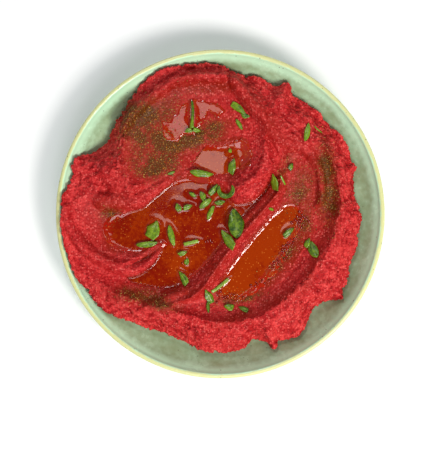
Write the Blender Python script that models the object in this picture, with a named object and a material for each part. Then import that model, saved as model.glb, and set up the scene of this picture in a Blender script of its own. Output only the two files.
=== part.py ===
"""Beetroot hummus spread on a round stoneware plate, with pools of olive oil and mint leaves.

Frame: metres, +Z up, origin at the centre of the plate's foot, on the table. +Y is the far side.
Sizes below are written in millimetres and multiplied by MM where they are used.

The hummus is a mound whose top was worked with a spoon. Its surface is one height function:
a mound that falls off towards an uneven outline, then troughs carved into it along the spoon's
strokes, then ridges raised along the edges of the strokes, then narrow folds pressed into the rim.
"""

import math

import bmesh
import bpy
import numpy as np
from mathutils import Matrix, Vector
from mathutils.bvhtree import BVHTree

MM = 0.001

# ---------------------------------------------------------------- driving dimensions, in mm
PLATE_RADIUS = 100.0
PLATE_HEIGHT = 24.5
PLATE_FLOOR = 6.0  # height of the flat inside above the table
LIP_RADIUS = 1.6  # the rounded edge of the rim
FLAT_RADIUS = 70.0  # the inside is flat to here and curves up beyond it
CURVE_POWER = 2.6  # how late the inside turns up into the wall
FOOT_OUTER = 58.0
FOOT_INNER = 53.0
FOOT_HEIGHT = 2.4
FOOT_SLOPE = 0.8  # how much wider the foot ring is where it leaves the plate
PLATE_STEPS = 64
INSIDE_SHARES = (0.35, 0.55, 0.7, 0.83, 0.93, 1.0)  # where the curved inside has a profile point
LIP_STEPS = 4
OUTSIDE = ((99.2, 17.0), (95.0, 9.0), (86.0, 4.6), (72.0, 2.7))  # (radius, height) from the lip down
MERGE = 0.01  # points closer than this become one

GAP = 0.35  # kept between pieces that touch
MOUND_TOP = 26.5  # height of the mound's flat top above the table
EDGE_THICKNESS = 5.5  # height of the mound's edge above the plate
SHOULDER = 19.0  # how far in from the outline the mound keeps rising
SHOULDER_POWER = 2.2
SUMMIT_RISE = 1.0  # how far the mound's top stands above its edge at least
OUTLINE_RADIUS = 84.5
OUTLINE_LIMIT = 96.0  # the outline stays inside the plate's lip
THINNEST = 2.8  # least thickness of the hummus over the plate
TOP_CELLS = 40  # cells along each side of the sheet that becomes the top
LEAST_RISE = 1.0  # how far a trough's sides rise at least
TROUGH_BLEND = 1.6  # how softly a trough meets what is around it
RIDGE_BLEND = 1.2
SLOPE_STEP = 0.5  # half the length over which the plate's slope is measured
SHARP_ANGLE = math.radians(50)

# Rings of the edge and underside: (share of the outline's radius, share of the edge's thickness).
UNDERSIDE_RINGS = ((1.004, 0.45), (0.985, 0.0), (0.93, 0.0), (0.84, 0.0), (0.70, 0.0))

# Pools of oil, level on top. banks runs along the crests around a pool, and bounds what fills it.
POOLS = {
    "oil_west": {
        "level": 15.6,
        "banks": (
            (-72, 4),
            (-50, 14),
            (-25, 26),
            (0, 27),
            (14, 14),
            (34, 28),
            (36, 16),
            (16, -9),
            (-5, -37),
            (-28, -47),
            (-55, -42),
            (-74, -20),
        ),
    },
    "oil_east": {
        "level": 16.0,
        "banks": ((54, 8), (36, 8), (16, -9), (2, -30), (-4, -50), (16, -54), (40, -38), (58, -10)),
    },
    "oil_north": {
        "level": 17.0,
        "banks": ((-18, 30), (-8, 44), (12, 48), (20, 38), (8, 25), (-8, 24)),
    },
}

# Bulges and bays of the outline: (direction in degrees from +X, reach in mm, spread in degrees).
OUTLINE_BULGES = (
    (180, 12.5, 19),
    (205, 7.5, 13),
    (160, 6.0, 4.5),
    (148, -3.0, 4.5),
    (222, 3.0, 9),
    (113, 9.5, 17),
    (92, 4.5, 10),
    (74, 2.0, 7),
    (62.5, 5.5, 2.6),
    (48, 2.0, 8),
    (30, 4.0, 8),
    (19.5, 2.6, 2.0),
    (8, -1.6, 3),
    (-2, 1.8, 6),
    (-14, 1.8, 4),
    (-28, 3.0, 5),
    (-34.5, 5.5, 3.2),
    (-45, -3.2, 5),
    (-57, 3.5, 6),
    (-68, 4.2, 1.8),
    (-75, -4.8, 4),
    (-98, 0.8, 2.0),
    (-109, -3.6, 7),
    (-119, -2.4, 6),
    (-142, 2.5, 7),
)

# ---------------------------------------------------------------- spoon strokes, in mm
# A trough's points are (x, y, floor height, half width). rim is the height it reaches at its half
# width, and power how flat its floor and how steep its sides are.
TROUGHS = {
    "north_scoop": {
        "points": ((-31, 40, 20.5, 31), (-18, 46, 19, 35), (-6, 48, 18, 34)),
        "rim": 27.0,
        "power": 6.0,
    },
    "north_hollow": {
        "points": ((-14, 36, 16.5, 13), (0, 32, 15.2, 13), (11, 37, 15.8, 10)),
        "rim": 20.0,
        "power": 2.0,
    },
    "west_scoop": {
        "points": ((-76, 1, 22.5, 17.5), (-65, -9, 16.5, 24), (-52, -12, 13.5, 19)),
        "rim": 27.0,
        "power": 2.8,
    },
    "middle_scoop": {
        "points": ((-54, -7, 13.5, 11), (-32, -2, 12.5, 21), (-14, 2, 12.5, 22), (0, 0, 12.8, 13)),
        "rim": 22.0,
        "power": 3.0,
    },
    "south_sweep": {
        "points": (
            (-88, -18, 22.5, 5),
            (-76, -32, 19.5, 6),
            (-54, -39.5, 15, 9.5),
            (-30, -31, 12.5, 19.5),
            (2, -6, 13, 12),
            (25, 13, 14.6, 7),
            (32, 21, 18, 4),
        ),
        "rim": 22.0,
        "power": 2.1,
    },
    "east_sweep": {
        "points": (
            (48, 30, 21, 11),
            (50.5, 1, 17.5, 19.5),
            (42, -14, 17, 23),
            (17.5, -42.5, 16.5, 20),
            (-4, -54, 17.5, 11),
            (-15, -56, 20, 6),
            (-26, -56.5, 23, 3),
        ),
        "rim": 26.5,
        "power": 3.8,
    },
    "east_hollow": {
        "points": ((43, -1, 14.6, 10), (34, -13, 13.5, 12), (15, -37, 13.5, 12), (7, -46, 14.4, 10)),
        "rim": 18.5,
        "power": 2.2,
    },
    "outer_groove": {
        "points": ((56, 43, 24, 3), (62, 35, 21.5, 5), (67.5, 13, 18, 6.5), (65, 2, 18, 7)),
        "rim": 26.0,
        "power": 2.2,
    },
    "saddle": {
        "points": ((30, 46, 21.5, 3), (35, 38, 21, 5), (40, 31, 20.5, 8)),
        "rim": 25.0,
        "power": 2.0,
    },
}

# A ridge's points are (x, y, crest height, half width).
RIDGES = {
    "west_lip": (
        (-94, 4, 28, 4),
        (-91, -9, 27.5, 4),
        (-79, -24, 26, 4),
        (-57, -34, 23.5, 4),
        (-44, -29.5, 20.5, 3.4),
        (-37, -21, 16.8, 2.6),
    ),
    "west_tongue": (
        (-72, 9, 26.5, 6),
        (-53, 8, 24.5, 5.5),
        (-45, 10.5, 22.5, 5),
        (-27, 21, 19.5, 4),
        (-18, 25, 17, 3),
    ),
    "centre_lobe": ((27, 31, 23, 8), (22, 25, 23.5, 8.5), (16, 18, 23, 8.5), (11, 13, 20.5, 6.5)),
    "inner_ridge": (
        (39, 21, 22.5, 4),
        (29, 5, 22, 4),
        (16, -9, 21.5, 4),
        (2, -28, 22, 5),
        (-11, -45, 23, 5),
        (-32, -52.5, 24.5, 5),
    ),
    "long_ridge": (
        (8, 80, 28, 4),
        (24, 62, 28, 4.5),
        (35, 47, 27, 5),
        (50, 40, 26, 4),
        (60, 27, 25, 3.5),
        (61.5, 10, 23.5, 3),
        (59, 4, 20, 2.5),
    ),
    "north_crest": (
        (-58, 52, 28, 3),
        (-50, 64, 28, 3.5),
        (-26, 81, 28.5, 3.5),
        (2, 83, 28.5, 3.5),
    ),
    "west_knob": ((-70, 26, 29, 5), (-64, 25, 28.5, 6)),
    "saddle_ridge": ((33, 44, 23.5, 2.5), (36, 38, 23, 2.5), (38, 31, 22, 2.5)),
}
RIDGE_DROP = 5.0  # how far a ridge has fallen at its half width
RIDGE_POWER = 2.3

# A fold's points are (x, y, depth, half width).
FOLDS = {
    "north_east": ((18, 82, 2.5, 3), (33, 66, 3, 3), (50, 49, 3, 4)),
    "east_rim": ((44, 67, 1.5, 2.5), (63, 56, 2.5, 2.5), (78, 37, 2, 2.5), (81, 28, 1, 2)),
    "east_inner": ((56, 55, 1.5, 2.5), (65, 46, 2.2, 2.5), (71, 37, 1.5, 2.5)),
    "south": ((-24, -69, 1.2, 2), (-13, -67, 2.6, 2.4), (-4, -71, 3.2, 2.6), (5, -74, 1.2, 2)),
    "south_west": ((-57, -58, 1.5, 2.5), (-49, -54, 2.6, 2.5), (-40, -51, 1.5, 2.5)),
    "west": ((-76, 24, 2.5, 3), (-72, 17, 4, 3.5), (-68, 13, 2, 3)),
    "south_east": ((60, -40, 1.5, 2.5), (66, -38, 2.2, 2.5), (74, -33, 1.8, 2)),
}

# ---------------------------------------------------------------- mint leaves, in mm
# Each large leaf: (x, y, length, width, heading in degrees from +X, arch).
LEAVES = (
    (9.5, -5.5, 18.0, 9.5, 97, 1.4),
    (4.5, -15.5, 12.0, 5.0, 122, 1.0),
    (-41.0, -9.5, 11.0, 8.0, 68, 0.9),
    (-30.0, -13.0, 12.0, 3.4, 102, 0.7),
    (-45.0, -19.2, 12.5, 3.6, 8, 0.6),
    (3.0, 15.0, 10.5, 4.5, 70, 1.2),
    (7.3, 29.5, 9.5, 4.4, 76, 0.8),
    (-11.5, 24.6, 14.5, 4.2, -8, 0.6),
    (11.5, 64.5, 11.0, 4.0, -38, 0.8),
    (33.0, 19.6, 10.5, 3.8, 98, 0.8),
    (52.7, 49.6, 11.5, 3.2, 78, 0.6),
    (-7.3, -50.2, 9.5, 4.6, 116, 0.8),
    (56.6, -21.6, 10.0, 5.6, 108, 1.0),
    (-22.6, -39.0, 9.0, 4.2, 122, 0.7),
    (-9.2, 6.6, 9.0, 3.6, 38, 0.7),
)
LEAF_CELLS = (6, 2)  # cells along and across a leaf
LEAF_SKEW = 0.8  # below 1, a leaf is widest nearer its stem
LEAF_FULLNESS = 0.75  # how quickly a leaf widens
LEAF_END = 0.06  # half width of a leaf's ends, as a share of its greatest
LEAF_REACH = 2.1  # how far around a point the ground counts towards a leaf's height there
LEAF_LOOKS = 8  # in how many directions it is looked at
LEAF_THICKNESS = 0.6
LEAF_CLEARANCE = 0.75  # height of a leaf's underside above what it lies on
STALK = ((-17.3, 69.0), (-17.0, 52.5))  # the ends of the cut stalk in the north scoop
STALK_RADIUS = 1.0
STALK_SIDES = 8


# ---------------------------------------------------------------- the hummus surface
def plate_inside(radius):
    """Height in mm of the plate's inside at a radius in mm, up to where the lip starts."""
    wall_end = PLATE_RADIUS - 2 * LIP_RADIUS
    share = np.clip((radius - FLAT_RADIUS) / (wall_end - FLAT_RADIUS), 0, 1)
    return PLATE_FLOOR + (PLATE_HEIGHT - LIP_RADIUS - PLATE_FLOOR) * share**CURVE_POWER


def outline(angle):
    """Radius in mm of the hummus's outline in a direction in radians."""
    degrees = np.degrees(angle)
    radius = np.full_like(degrees, OUTLINE_RADIUS)
    for direction, reach, spread in OUTLINE_BULGES:
        away = (degrees - direction + 180) % 360 - 180
        radius = radius + reach * np.exp(-((away / spread) ** 2))
    return np.minimum(radius, OUTLINE_LIMIT)


def smooth_lower(a, b, blend):
    """The lower of two heights, rounded where they cross."""
    near = np.clip(blend - np.abs(a - b), 0, None) / blend
    return np.minimum(a, b) - near * near * blend / 4


def smooth_upper(a, b, blend):
    """The higher of two heights, rounded where they cross."""
    return -smooth_lower(-a, -b, blend)


def curve_through(points, steps=6):
    """A smooth curve through rows of numbers, as more rows."""
    rows = np.array(points, float)
    rows = np.vstack([2 * rows[0] - rows[1], rows, 2 * rows[-1] - rows[-2]])
    curve = []
    for before, start, end, after in zip(rows, rows[1:], rows[2:], rows[3:]):
        for t in np.arange(steps) / steps:
            bend = 2 * before - 5 * start + 4 * end - after
            twist = 3 * start - before - 3 * end + after
            curve.append(start + 0.5 * ((end - before) * t + bend * t**2 + twist * t**3))
    curve.append(rows[-2])
    return curve


def along_stroke(points, x, y, shape, choose):
    """The chosen value of shape(distance / half width, level) over all stretches of a stroke."""
    curve = curve_through(points)
    chosen = None
    for start, end in zip(curve, curve[1:]):
        run = end[:2] - start[:2]
        share = np.clip(((x - start[0]) * run[0] + (y - start[1]) * run[1]) / (run @ run), 0, 1)
        distance = np.hypot(x - start[0] - share * run[0], y - start[1] - share * run[1])
        level = start[2] + (end[2] - start[2]) * share
        width = start[3] + (end[3] - start[3]) * share
        value = shape(distance / width, level)
        chosen = value if chosen is None else choose(chosen, value)
    return chosen


def mound(x, y):
    """Height in mm of the mound before it is worked with the spoon."""
    radius = np.hypot(x, y)
    edge = plate_inside(radius) + EDGE_THICKNESS
    summit = np.maximum(MOUND_TOP, edge + SUMMIT_RISE)
    share = np.clip((outline(np.arctan2(y, x)) - radius) / SHOULDER, 0, 1)
    return edge + (summit - edge) * (1 - (1 - share) ** SHOULDER_POWER)


def carve(top, x, y, stroke):
    """Lowers the surface to a trough."""
    rim, power = stroke["rim"], stroke["power"]

    def section(distance, floor):
        return floor + np.maximum(rim - floor, LEAST_RISE) * distance**power

    return smooth_lower(top, along_stroke(stroke["points"], x, y, section, np.minimum), TROUGH_BLEND)


def raise_ridge(top, x, y, points):
    """Lifts the surface to a ridge."""

    def section(distance, crest):
        return crest - RIDGE_DROP * distance**RIDGE_POWER

    return smooth_upper(top, along_stroke(points, x, y, section, np.maximum), RIDGE_BLEND)


def press_fold(top, x, y, points):
    """Presses a narrow fold into the surface."""

    def section(distance, depth):
        return depth * np.exp(-(distance**2))

    return top - along_stroke(points, x, y, section, np.maximum)


def hummus_top(x, y):
    """Height in mm of the hummus's top at points in mm."""
    top = mound(x, y)
    for stroke in TROUGHS.values():
        top = carve(top, x, y, stroke)
    for points in RIDGES.values():
        top = raise_ridge(top, x, y, points)
    for points in FOLDS.values():
        top = press_fold(top, x, y, points)
    return np.maximum(top, plate_inside(np.hypot(x, y)) + THINNEST)


# ---------------------------------------------------------------- Blender helpers
def clear_scene():
    """Removes the objects that the file starts with."""
    for item in list(bpy.data.objects):
        bpy.data.objects.remove(item)


def material(name, colour, roughness):
    """A plain Principled material."""
    made = bpy.data.materials.new(name)
    made.use_nodes = True
    shader = made.node_tree.nodes["Principled BSDF"]
    shader.inputs["Base Color"].default_value = (*colour, 1)
    shader.inputs["Roughness"].default_value = roughness
    return made


def object_from(bm, name, finish):
    """Links a bmesh as a smooth-shaded object of one material, with its faces pointing out."""
    bmesh.ops.recalc_face_normals(bm, faces=bm.faces)
    if bm.calc_volume(signed=True) < 0:
        bmesh.ops.reverse_faces(bm, faces=bm.faces)
    mesh = bpy.data.meshes.new(name)
    bm.to_mesh(mesh)
    bm.free()
    mesh.shade_smooth()
    mesh.set_sharp_from_angle(angle=SHARP_ANGLE)
    mesh.materials.append(finish)
    made = bpy.data.objects.new(name, mesh)
    bpy.context.scene.collection.objects.link(made)
    return made


def move_vertices(verts, place):
    """Moves vertices to place(x, y), which takes their x and y as they stand and gives rows in mm."""
    verts = list(verts)
    flat = np.array([vert.co[:2] for vert in verts])
    for vert, spot in zip(verts, place(flat[:, 0], flat[:, 1])):
        vert.co = Vector(spot) * MM


# ---------------------------------------------------------------- the plate
def plate_profile():
    """The plate's half section as (radius, height) in mm: inside, lip, outside, foot."""
    wall_end = PLATE_RADIUS - 2 * LIP_RADIUS
    inside = [(0.0, PLATE_FLOOR), (FLAT_RADIUS, PLATE_FLOOR)]
    for share in INSIDE_SHARES:
        radius = FLAT_RADIUS + (wall_end - FLAT_RADIUS) * share
        inside.append((radius, float(plate_inside(radius))))
    lip = []
    for turn in range(LIP_STEPS + 1):
        angle = math.pi * (1 - turn / LIP_STEPS)
        across = PLATE_RADIUS - LIP_RADIUS + LIP_RADIUS * math.cos(angle)
        lip.append((across, PLATE_HEIGHT - LIP_RADIUS + LIP_RADIUS * math.sin(angle)))
    foot = [
        (FOOT_OUTER + FOOT_SLOPE, FOOT_HEIGHT),
        (FOOT_OUTER, 0.0),
        (FOOT_INNER, 0.0),
        (FOOT_INNER - FOOT_SLOPE, FOOT_HEIGHT),
        (0.0, FOOT_HEIGHT),
    ]
    return [*inside, *lip, *OUTSIDE, *foot]


def make_plate(finish):
    """The plate, turned from its half section."""
    bm = bmesh.new()
    section = [bm.verts.new((radius * MM, 0, height * MM)) for radius, height in plate_profile()]
    edges = [bm.edges.new(pair) for pair in zip(section, section[1:])]
    bmesh.ops.spin(
        bm,
        geom=section + edges,
        cent=(0, 0, 0),
        axis=(0, 0, 1),
        angle=2 * math.pi,
        steps=PLATE_STEPS,
        use_merge=True,
    )
    bmesh.ops.remove_doubles(bm, verts=bm.verts, dist=MERGE * MM)
    return object_from(bm, "plate", finish)


def plate_surface(radius):
    """Height in mm of the turned plate's inside, which is straight between its profile's points."""
    radii, heights = zip(*plate_profile()[: len(INSIDE_SHARES) + 2 + LIP_STEPS // 2])
    return np.interp(radius, radii, heights)


# ---------------------------------------------------------------- the hummus
def footprint(u, v):
    """Maps a square from -1 to 1 onto the hummus's footprint in mm, by way of a disc."""
    disc_u, disc_v = u * np.sqrt(1 - v**2 / 2), v * np.sqrt(1 - u**2 / 2)
    reach = outline(np.arctan2(disc_v, disc_u))
    return disc_u * reach, disc_v * reach


def resting_height(radius):
    """Height in mm of what rests on the plate, with the gap measured square to the slope."""
    rise = plate_surface(radius + SLOPE_STEP) - plate_surface(radius - SLOPE_STEP)
    slope = rise / (2 * SLOPE_STEP)
    return plate_surface(radius) + GAP * np.sqrt(1 + slope**2)


def make_hummus(finish):
    """The mound: a worked sheet over its footprint, a bulging edge, and an underside that fits the plate."""
    bm = bmesh.new()
    bmesh.ops.create_grid(bm, x_segments=TOP_CELLS, y_segments=TOP_CELLS, size=1)

    def lay(u, v):
        x, y = footprint(u, v)
        return np.stack([x, y, hummus_top(x, y)], axis=1)

    move_vertices(bm.verts, lay)
    for scale, share in UNDERSIDE_RINGS:
        rim = [edge for edge in bm.edges if edge.is_boundary]
        grown = bmesh.ops.extrude_edge_only(bm, edges=rim)["geom"]

        def wrap(x, y, scale=scale, share=share):
            angle = np.arctan2(y, x)
            radius = outline(angle) * scale
            height = resting_height(radius) + EDGE_THICKNESS * share
            return np.stack([radius * np.cos(angle), radius * np.sin(angle), height], axis=1)

        move_vertices([item for item in grown if isinstance(item, bmesh.types.BMVert)], wrap)
    bmesh.ops.holes_fill(bm, edges=[edge for edge in bm.edges if edge.is_boundary], sides=0)
    return object_from(bm, "hummus", finish)


# ---------------------------------------------------------------- the oil
def raised_copy(hummus):
    """A cutter: the hummus, raised by the gap."""
    cutter = bpy.data.objects.new("oil_cutter", hummus.data.copy())
    cutter.location.z = GAP * MM
    cutter.hide_render = True
    cutter.display_type = "WIRE"
    bpy.context.scene.collection.objects.link(cutter)
    return cutter


def make_oil(name, pool, cutter, finish):
    """A pool of oil: a slab between its banks up to the oil's level, cut by what lies below it."""
    bm = bmesh.new()
    bottom = PLATE_FLOOR + THINNEST
    corners = [bm.verts.new(Vector((x, y, bottom)) * MM) for x, y in pool["banks"]]
    floor = bm.faces.new(corners)
    grown = bmesh.ops.extrude_face_region(bm, geom=[floor])["geom"]
    raised = [item for item in grown if isinstance(item, bmesh.types.BMVert)]
    bmesh.ops.translate(bm, verts=raised, vec=(0, 0, (pool["level"] - bottom) * MM))
    made = object_from(bm, name, finish)
    cut = made.modifiers.new("hummus", "BOOLEAN")
    cut.operation = "DIFFERENCE"
    cut.object = cutter
    return made


# ---------------------------------------------------------------- the mint
def leaf_half_width(share):
    """A leaf's half width, as a share of its greatest, along its length from stem to tip."""
    return LEAF_END + (1 - LEAF_END) * np.sin(np.pi * share**LEAF_SKEW) ** LEAF_FULLNESS


def ground_under(hummus):
    """The surface that leaves lie on: the faces of the hummus."""
    mesh = hummus.data
    corners = [vert.co for vert in mesh.vertices]
    return BVHTree.FromPolygons(corners, [face.vertices for face in mesh.polygons])


def between_banks(x, y, banks):
    """Whether a point in mm lies inside a closed line of corners."""
    inside = False
    for (x1, y1), (x2, y2) in zip(banks, banks[1:] + banks[:1]):
        if (y1 > y) != (y2 > y) and x < x1 + (y - y1) * (x2 - x1) / (y2 - y1):
            inside = not inside
    return inside


def support_height(ground, x, y):
    """Height in mm of the hummus at a point or, where it is covered, of the oil on it."""
    hit = ground.ray_cast(Vector((x, y, 2 * MOUND_TOP)) * MM, Vector((0, 0, -1)))[0]
    levels = [pool["level"] for pool in POOLS.values() if between_banks(x, y, pool["banks"])]
    return max([hit.z / MM] + levels)


def highest_near(ground, x, y):
    """The highest support in mm around a point, so that a facet over it stays clear."""
    spots = [(x, y)]
    for turn in np.linspace(0, 2 * math.pi, LEAF_LOOKS, endpoint=False):
        spots.append((x + LEAF_REACH * math.cos(turn), y + LEAF_REACH * math.sin(turn)))
    return max(support_height(ground, *spot) for spot in spots)


def make_leaf(name, leaf, ground, finish):
    """A leaf: a thin pointed blade that lies over what is below it, with its middle arched up."""
    x, y, length, width, heading, arch = leaf
    bm = bmesh.new()
    cells_along, cells_across = LEAF_CELLS
    bmesh.ops.create_grid(bm, x_segments=cells_along, y_segments=cells_across, size=0.5)
    turn = math.radians(heading)

    def lay(u, v):
        share = u + 0.5
        along, across = u * length, v * width * leaf_half_width(share)
        spot_x = x + along * math.cos(turn) - across * math.sin(turn)
        spot_y = y + along * math.sin(turn) + across * math.cos(turn)
        under = np.array([highest_near(ground, *spot) for spot in zip(spot_x, spot_y)])
        under = under + LEAF_CLEARANCE
        height = under + arch * np.sin(np.pi * share) * (1 - 2 * np.abs(v))
        return np.stack([spot_x, spot_y, height], axis=1)

    move_vertices(bm.verts, lay)
    made = object_from(bm, name, finish)
    thick = made.modifiers.new("thickness", "SOLIDIFY")
    thick.thickness = LEAF_THICKNESS * MM
    thick.offset = 1
    return made


def make_stalk(ground, finish):
    """The cut stalk in the north scoop, lying along the slope."""
    lift = STALK_RADIUS + LEAF_CLEARANCE
    ends = [Vector((x, y, highest_near(ground, x, y) + lift)) * MM for x, y in STALK]
    start, end = ends
    bm = bmesh.new()
    radius = STALK_RADIUS * MM
    bmesh.ops.create_cone(
        bm, cap_ends=True, segments=STALK_SIDES, radius1=radius, radius2=radius, depth=(end - start).length
    )
    turn = (end - start).to_track_quat("Z", "Y").to_matrix().to_4x4()
    bm.transform(Matrix.Translation((start + end) / 2) @ turn)
    return object_from(bm, "mint_stalk", finish)


# ---------------------------------------------------------------- the whole
def main():
    """Builds every piece."""
    clear_scene()
    glaze = material("sage_glaze", (0.42, 0.47, 0.35), 0.25)
    beetroot = material("beetroot_hummus", (0.52, 0.02, 0.03), 0.5)
    oil = material("olive_oil", (0.42, 0.05, 0.01), 0.08)
    mint = material("mint", (0.05, 0.16, 0.02), 0.5)
    make_plate(glaze)
    hummus = make_hummus(beetroot)
    ground = ground_under(hummus)
    cutter = raised_copy(hummus)
    for name, pool in POOLS.items():
        make_oil(name, pool, cutter, oil)
    for number, leaf in enumerate(LEAVES, 1):
        make_leaf(f"mint_leaf_{number:02d}", leaf, ground, mint)
    make_stalk(ground, mint)


main()
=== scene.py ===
"""Beetroot hummus on a stoneware plate: the looks.

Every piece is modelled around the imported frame, in metres, with +Z up and the origin under the
middle of the plate. Sizes are written in millimetres and multiplied by MM where a mesh needs them.
The hummus repeats the rule of its CAD solid, a mound worked with a spoon, and adds its grain.
"""

from __future__ import annotations

import logging
import math
from collections.abc import Callable, Iterable, Sequence
from dataclasses import dataclass, field
from enum import Enum

import bmesh
import bpy
import numpy as np
from mathutils import Matrix, Vector, noise
from mathutils.bvhtree import BVHTree


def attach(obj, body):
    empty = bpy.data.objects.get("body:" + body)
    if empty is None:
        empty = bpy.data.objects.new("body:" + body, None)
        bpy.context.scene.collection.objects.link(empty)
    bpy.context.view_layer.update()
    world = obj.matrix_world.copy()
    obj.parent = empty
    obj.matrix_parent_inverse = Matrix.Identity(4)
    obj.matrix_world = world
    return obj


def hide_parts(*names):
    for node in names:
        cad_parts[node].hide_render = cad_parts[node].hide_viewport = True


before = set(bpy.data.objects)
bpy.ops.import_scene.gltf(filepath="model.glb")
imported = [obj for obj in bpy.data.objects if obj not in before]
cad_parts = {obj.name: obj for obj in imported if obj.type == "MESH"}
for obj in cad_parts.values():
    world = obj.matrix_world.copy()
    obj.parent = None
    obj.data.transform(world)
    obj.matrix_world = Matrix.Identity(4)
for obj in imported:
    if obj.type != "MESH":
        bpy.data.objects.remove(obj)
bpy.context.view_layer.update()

LOG = logging.getLogger("hummus_plate")
MM = 0.001
BODY = "root"
Row = tuple[float, ...]
Colour = tuple[float, float, float]
Values = np.ndarray
Shape = bmesh.types.BMesh
Piece = bpy.types.Object
Material = bpy.types.Material
Tree = bpy.types.NodeTree
Socket = bpy.types.NodeSocket


# ================================================================ mesh helpers
def finish_mesh(bm: Shape, name: str, material: Material) -> Piece:
    """Turns a bmesh into a smooth-shaded object at the origin.

    Args:
        bm: The shape, in metres; it is freed.
        name: The piece's name.
        material: The piece's only material.

    Returns:
        The linked object.
    """
    mesh = bpy.data.meshes.new(name)
    bm.to_mesh(mesh)
    bm.free()
    mesh.shade_smooth()
    mesh.materials.append(material)
    piece = bpy.data.objects.new(name, mesh)
    bpy.context.scene.collection.objects.link(piece)
    return piece


def close_on_level(bm: Shape, level: float) -> None:
    """Closes an open sheet: its rim goes down to a level in mm and a flat floor fills it.

    Args:
        bm: The bmesh; it is changed.
        level: The floor's height in mm.
    """
    rim = [edge for edge in bm.edges if edge.is_boundary]
    for item in bmesh.ops.extrude_edge_only(bm, edges=rim)["geom"]:
        if isinstance(item, bmesh.types.BMVert):
            item.co.z = level * MM
    bmesh.ops.holes_fill(bm, edges=[edge for edge in bm.edges if edge.is_boundary], sides=0)
    bmesh.ops.recalc_face_normals(bm, faces=bm.faces)


def close_at_depth(bm: Shape, depth: float) -> None:
    """Closes an open sheet with a copy of itself, depth mm below, and walls between them.

    Args:
        bm: The bmesh; it is changed.
        depth: How far below the sheet its copy lies, in mm.
    """
    grown = bmesh.ops.extrude_face_region(bm, geom=bm.faces[:], use_keep_orig=True)["geom"]
    for item in grown:
        if isinstance(item, bmesh.types.BMVert):
            item.co.z -= depth * MM
    bmesh.ops.recalc_face_normals(bm, faces=bm.faces)


def declare(piece: Piece, slot: str, *nodes: str) -> None:
    """Ties a piece to the frame and reports it.

    Args:
        piece: The finished piece.
        slot: Not used.
        *nodes: The CAD nodes it stands for.
    """
    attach(piece, BODY)
    if nodes:
        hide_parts(*nodes)
    triangles = sum(len(face.vertices) - 2 for face in piece.data.polygons)
    LOG.info("%s: %d triangles", piece.name, triangles)


def set_point_values(mesh: bpy.types.Mesh, name: str, values: Values | float) -> None:
    """Stores one number per vertex for a material to read.

    Args:
        mesh: The mesh to store on.
        name: The attribute's name.
        values: One value for each vertex, or one for all.
    """
    layer = mesh.attributes.new(name, "FLOAT", "POINT")
    layer.data.foreach_set("value", np.full(len(mesh.vertices), values, np.float32))


def vertex_places(mesh: bpy.types.Mesh) -> Values:
    """The mesh's vertices as rows, in mm.

    Args:
        mesh: The mesh.

    Returns:
        One row of x, y and z for each vertex.
    """
    flat = np.empty(len(mesh.vertices) * 3)
    mesh.vertices.foreach_get("co", flat)
    return flat.reshape(-1, 3) / MM


def vertex_normals(mesh: bpy.types.Mesh) -> Values:
    """The mesh's vertex normals as rows.

    Args:
        mesh: The mesh.

    Returns:
        One row for each vertex.
    """
    flat = np.empty(len(mesh.vertices) * 3)
    mesh.vertex_normals.foreach_get("vector", flat)
    return flat.reshape(-1, 3)


def set_vertex_places(mesh: bpy.types.Mesh, places: Values) -> None:
    """Moves the mesh's vertices to rows given in mm."""
    mesh.vertices.foreach_set("co", (places * MM).ravel())
    mesh.update()


def put_vertices(verts: Iterable[bmesh.types.BMVert], *axes: Values) -> None:
    """Moves a bmesh's vertices to their x, y and z in mm."""
    for vert, spot in zip(verts, np.stack(axes, axis=1)):
        vert.co = Vector(spot) * MM


def lay_grid(corners: Values, margin: float, cell: float) -> tuple[Shape, Values, Values]:
    """Starts a flat grid over the box around some corners.

    Args:
        corners: Rows of x and y in mm.
        margin: How far past the corners it reaches, in mm.
        cell: The size of its cells in mm.

    Returns:
        The bmesh, and the x and y of each of its vertices in mm.
    """
    low, high = corners.min(0) - margin, corners.max(0) + margin
    columns, rows = (int(count) for count in np.ceil((high - low) / cell))
    bm = bmesh.new()
    bmesh.ops.create_grid(bm, x_segments=columns, y_segments=rows, size=0.5)
    flat = np.array([vert.co[:2] for vert in bm.verts]) + 0.5
    spots = low + flat * (high - low)
    return bm, spots[:, 0].copy(), spots[:, 1].copy()


def delete_vertices(bm: Shape, marks: Iterable[bool]) -> None:
    """Deletes the vertices that are marked."""
    bmesh.ops.delete(bm, geom=[vert for vert, marked in zip(bm.verts, marks) if marked], context="VERTS")


def flat_places(x: Values, y: Values) -> Values:
    """Rows of x, y and 0, for noise that is the same at every height."""
    return np.stack([x, y, np.zeros_like(x)], axis=1)


def noise_over(places: Values, scale: float, seed: float, octaves: int = 1) -> Values:
    """Smooth noise, about -1 to 1, at rows of places.

    Args:
        places: Rows of x, y and z in mm.
        scale: The size in mm of its largest lumps.
        seed: A number that picks another part of the noise.
        octaves: How many finer layers are added.

    Returns:
        One value for each row.
    """
    spots = places / scale + np.array([seed * 7.31, seed * -3.77, seed * 5.13])
    values = (noise.fractal(spot, 0.9, 2.1, octaves) for spot in spots)
    return np.fromiter(values, float, len(spots))


def smooth_lower(a: Values, b: Values, blend: float) -> Values:
    """The lower of two heights, rounded over blend where they cross."""
    near = np.clip(blend - np.abs(a - b), 0, None) / blend
    return np.minimum(a, b) - near * near * blend / 4


def smooth_upper(a: Values, b: Values, blend: float) -> Values:
    """The higher of two heights, rounded over blend where they cross."""
    return -smooth_lower(-a, -b, blend)


def smooth_step(low: float, high: float, value: Values) -> Values:
    """Rises smoothly from 0 at low to 1 at high."""
    share = np.clip((value - low) / (high - low), 0, 1)
    return share * share * (3 - 2 * share)


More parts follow.
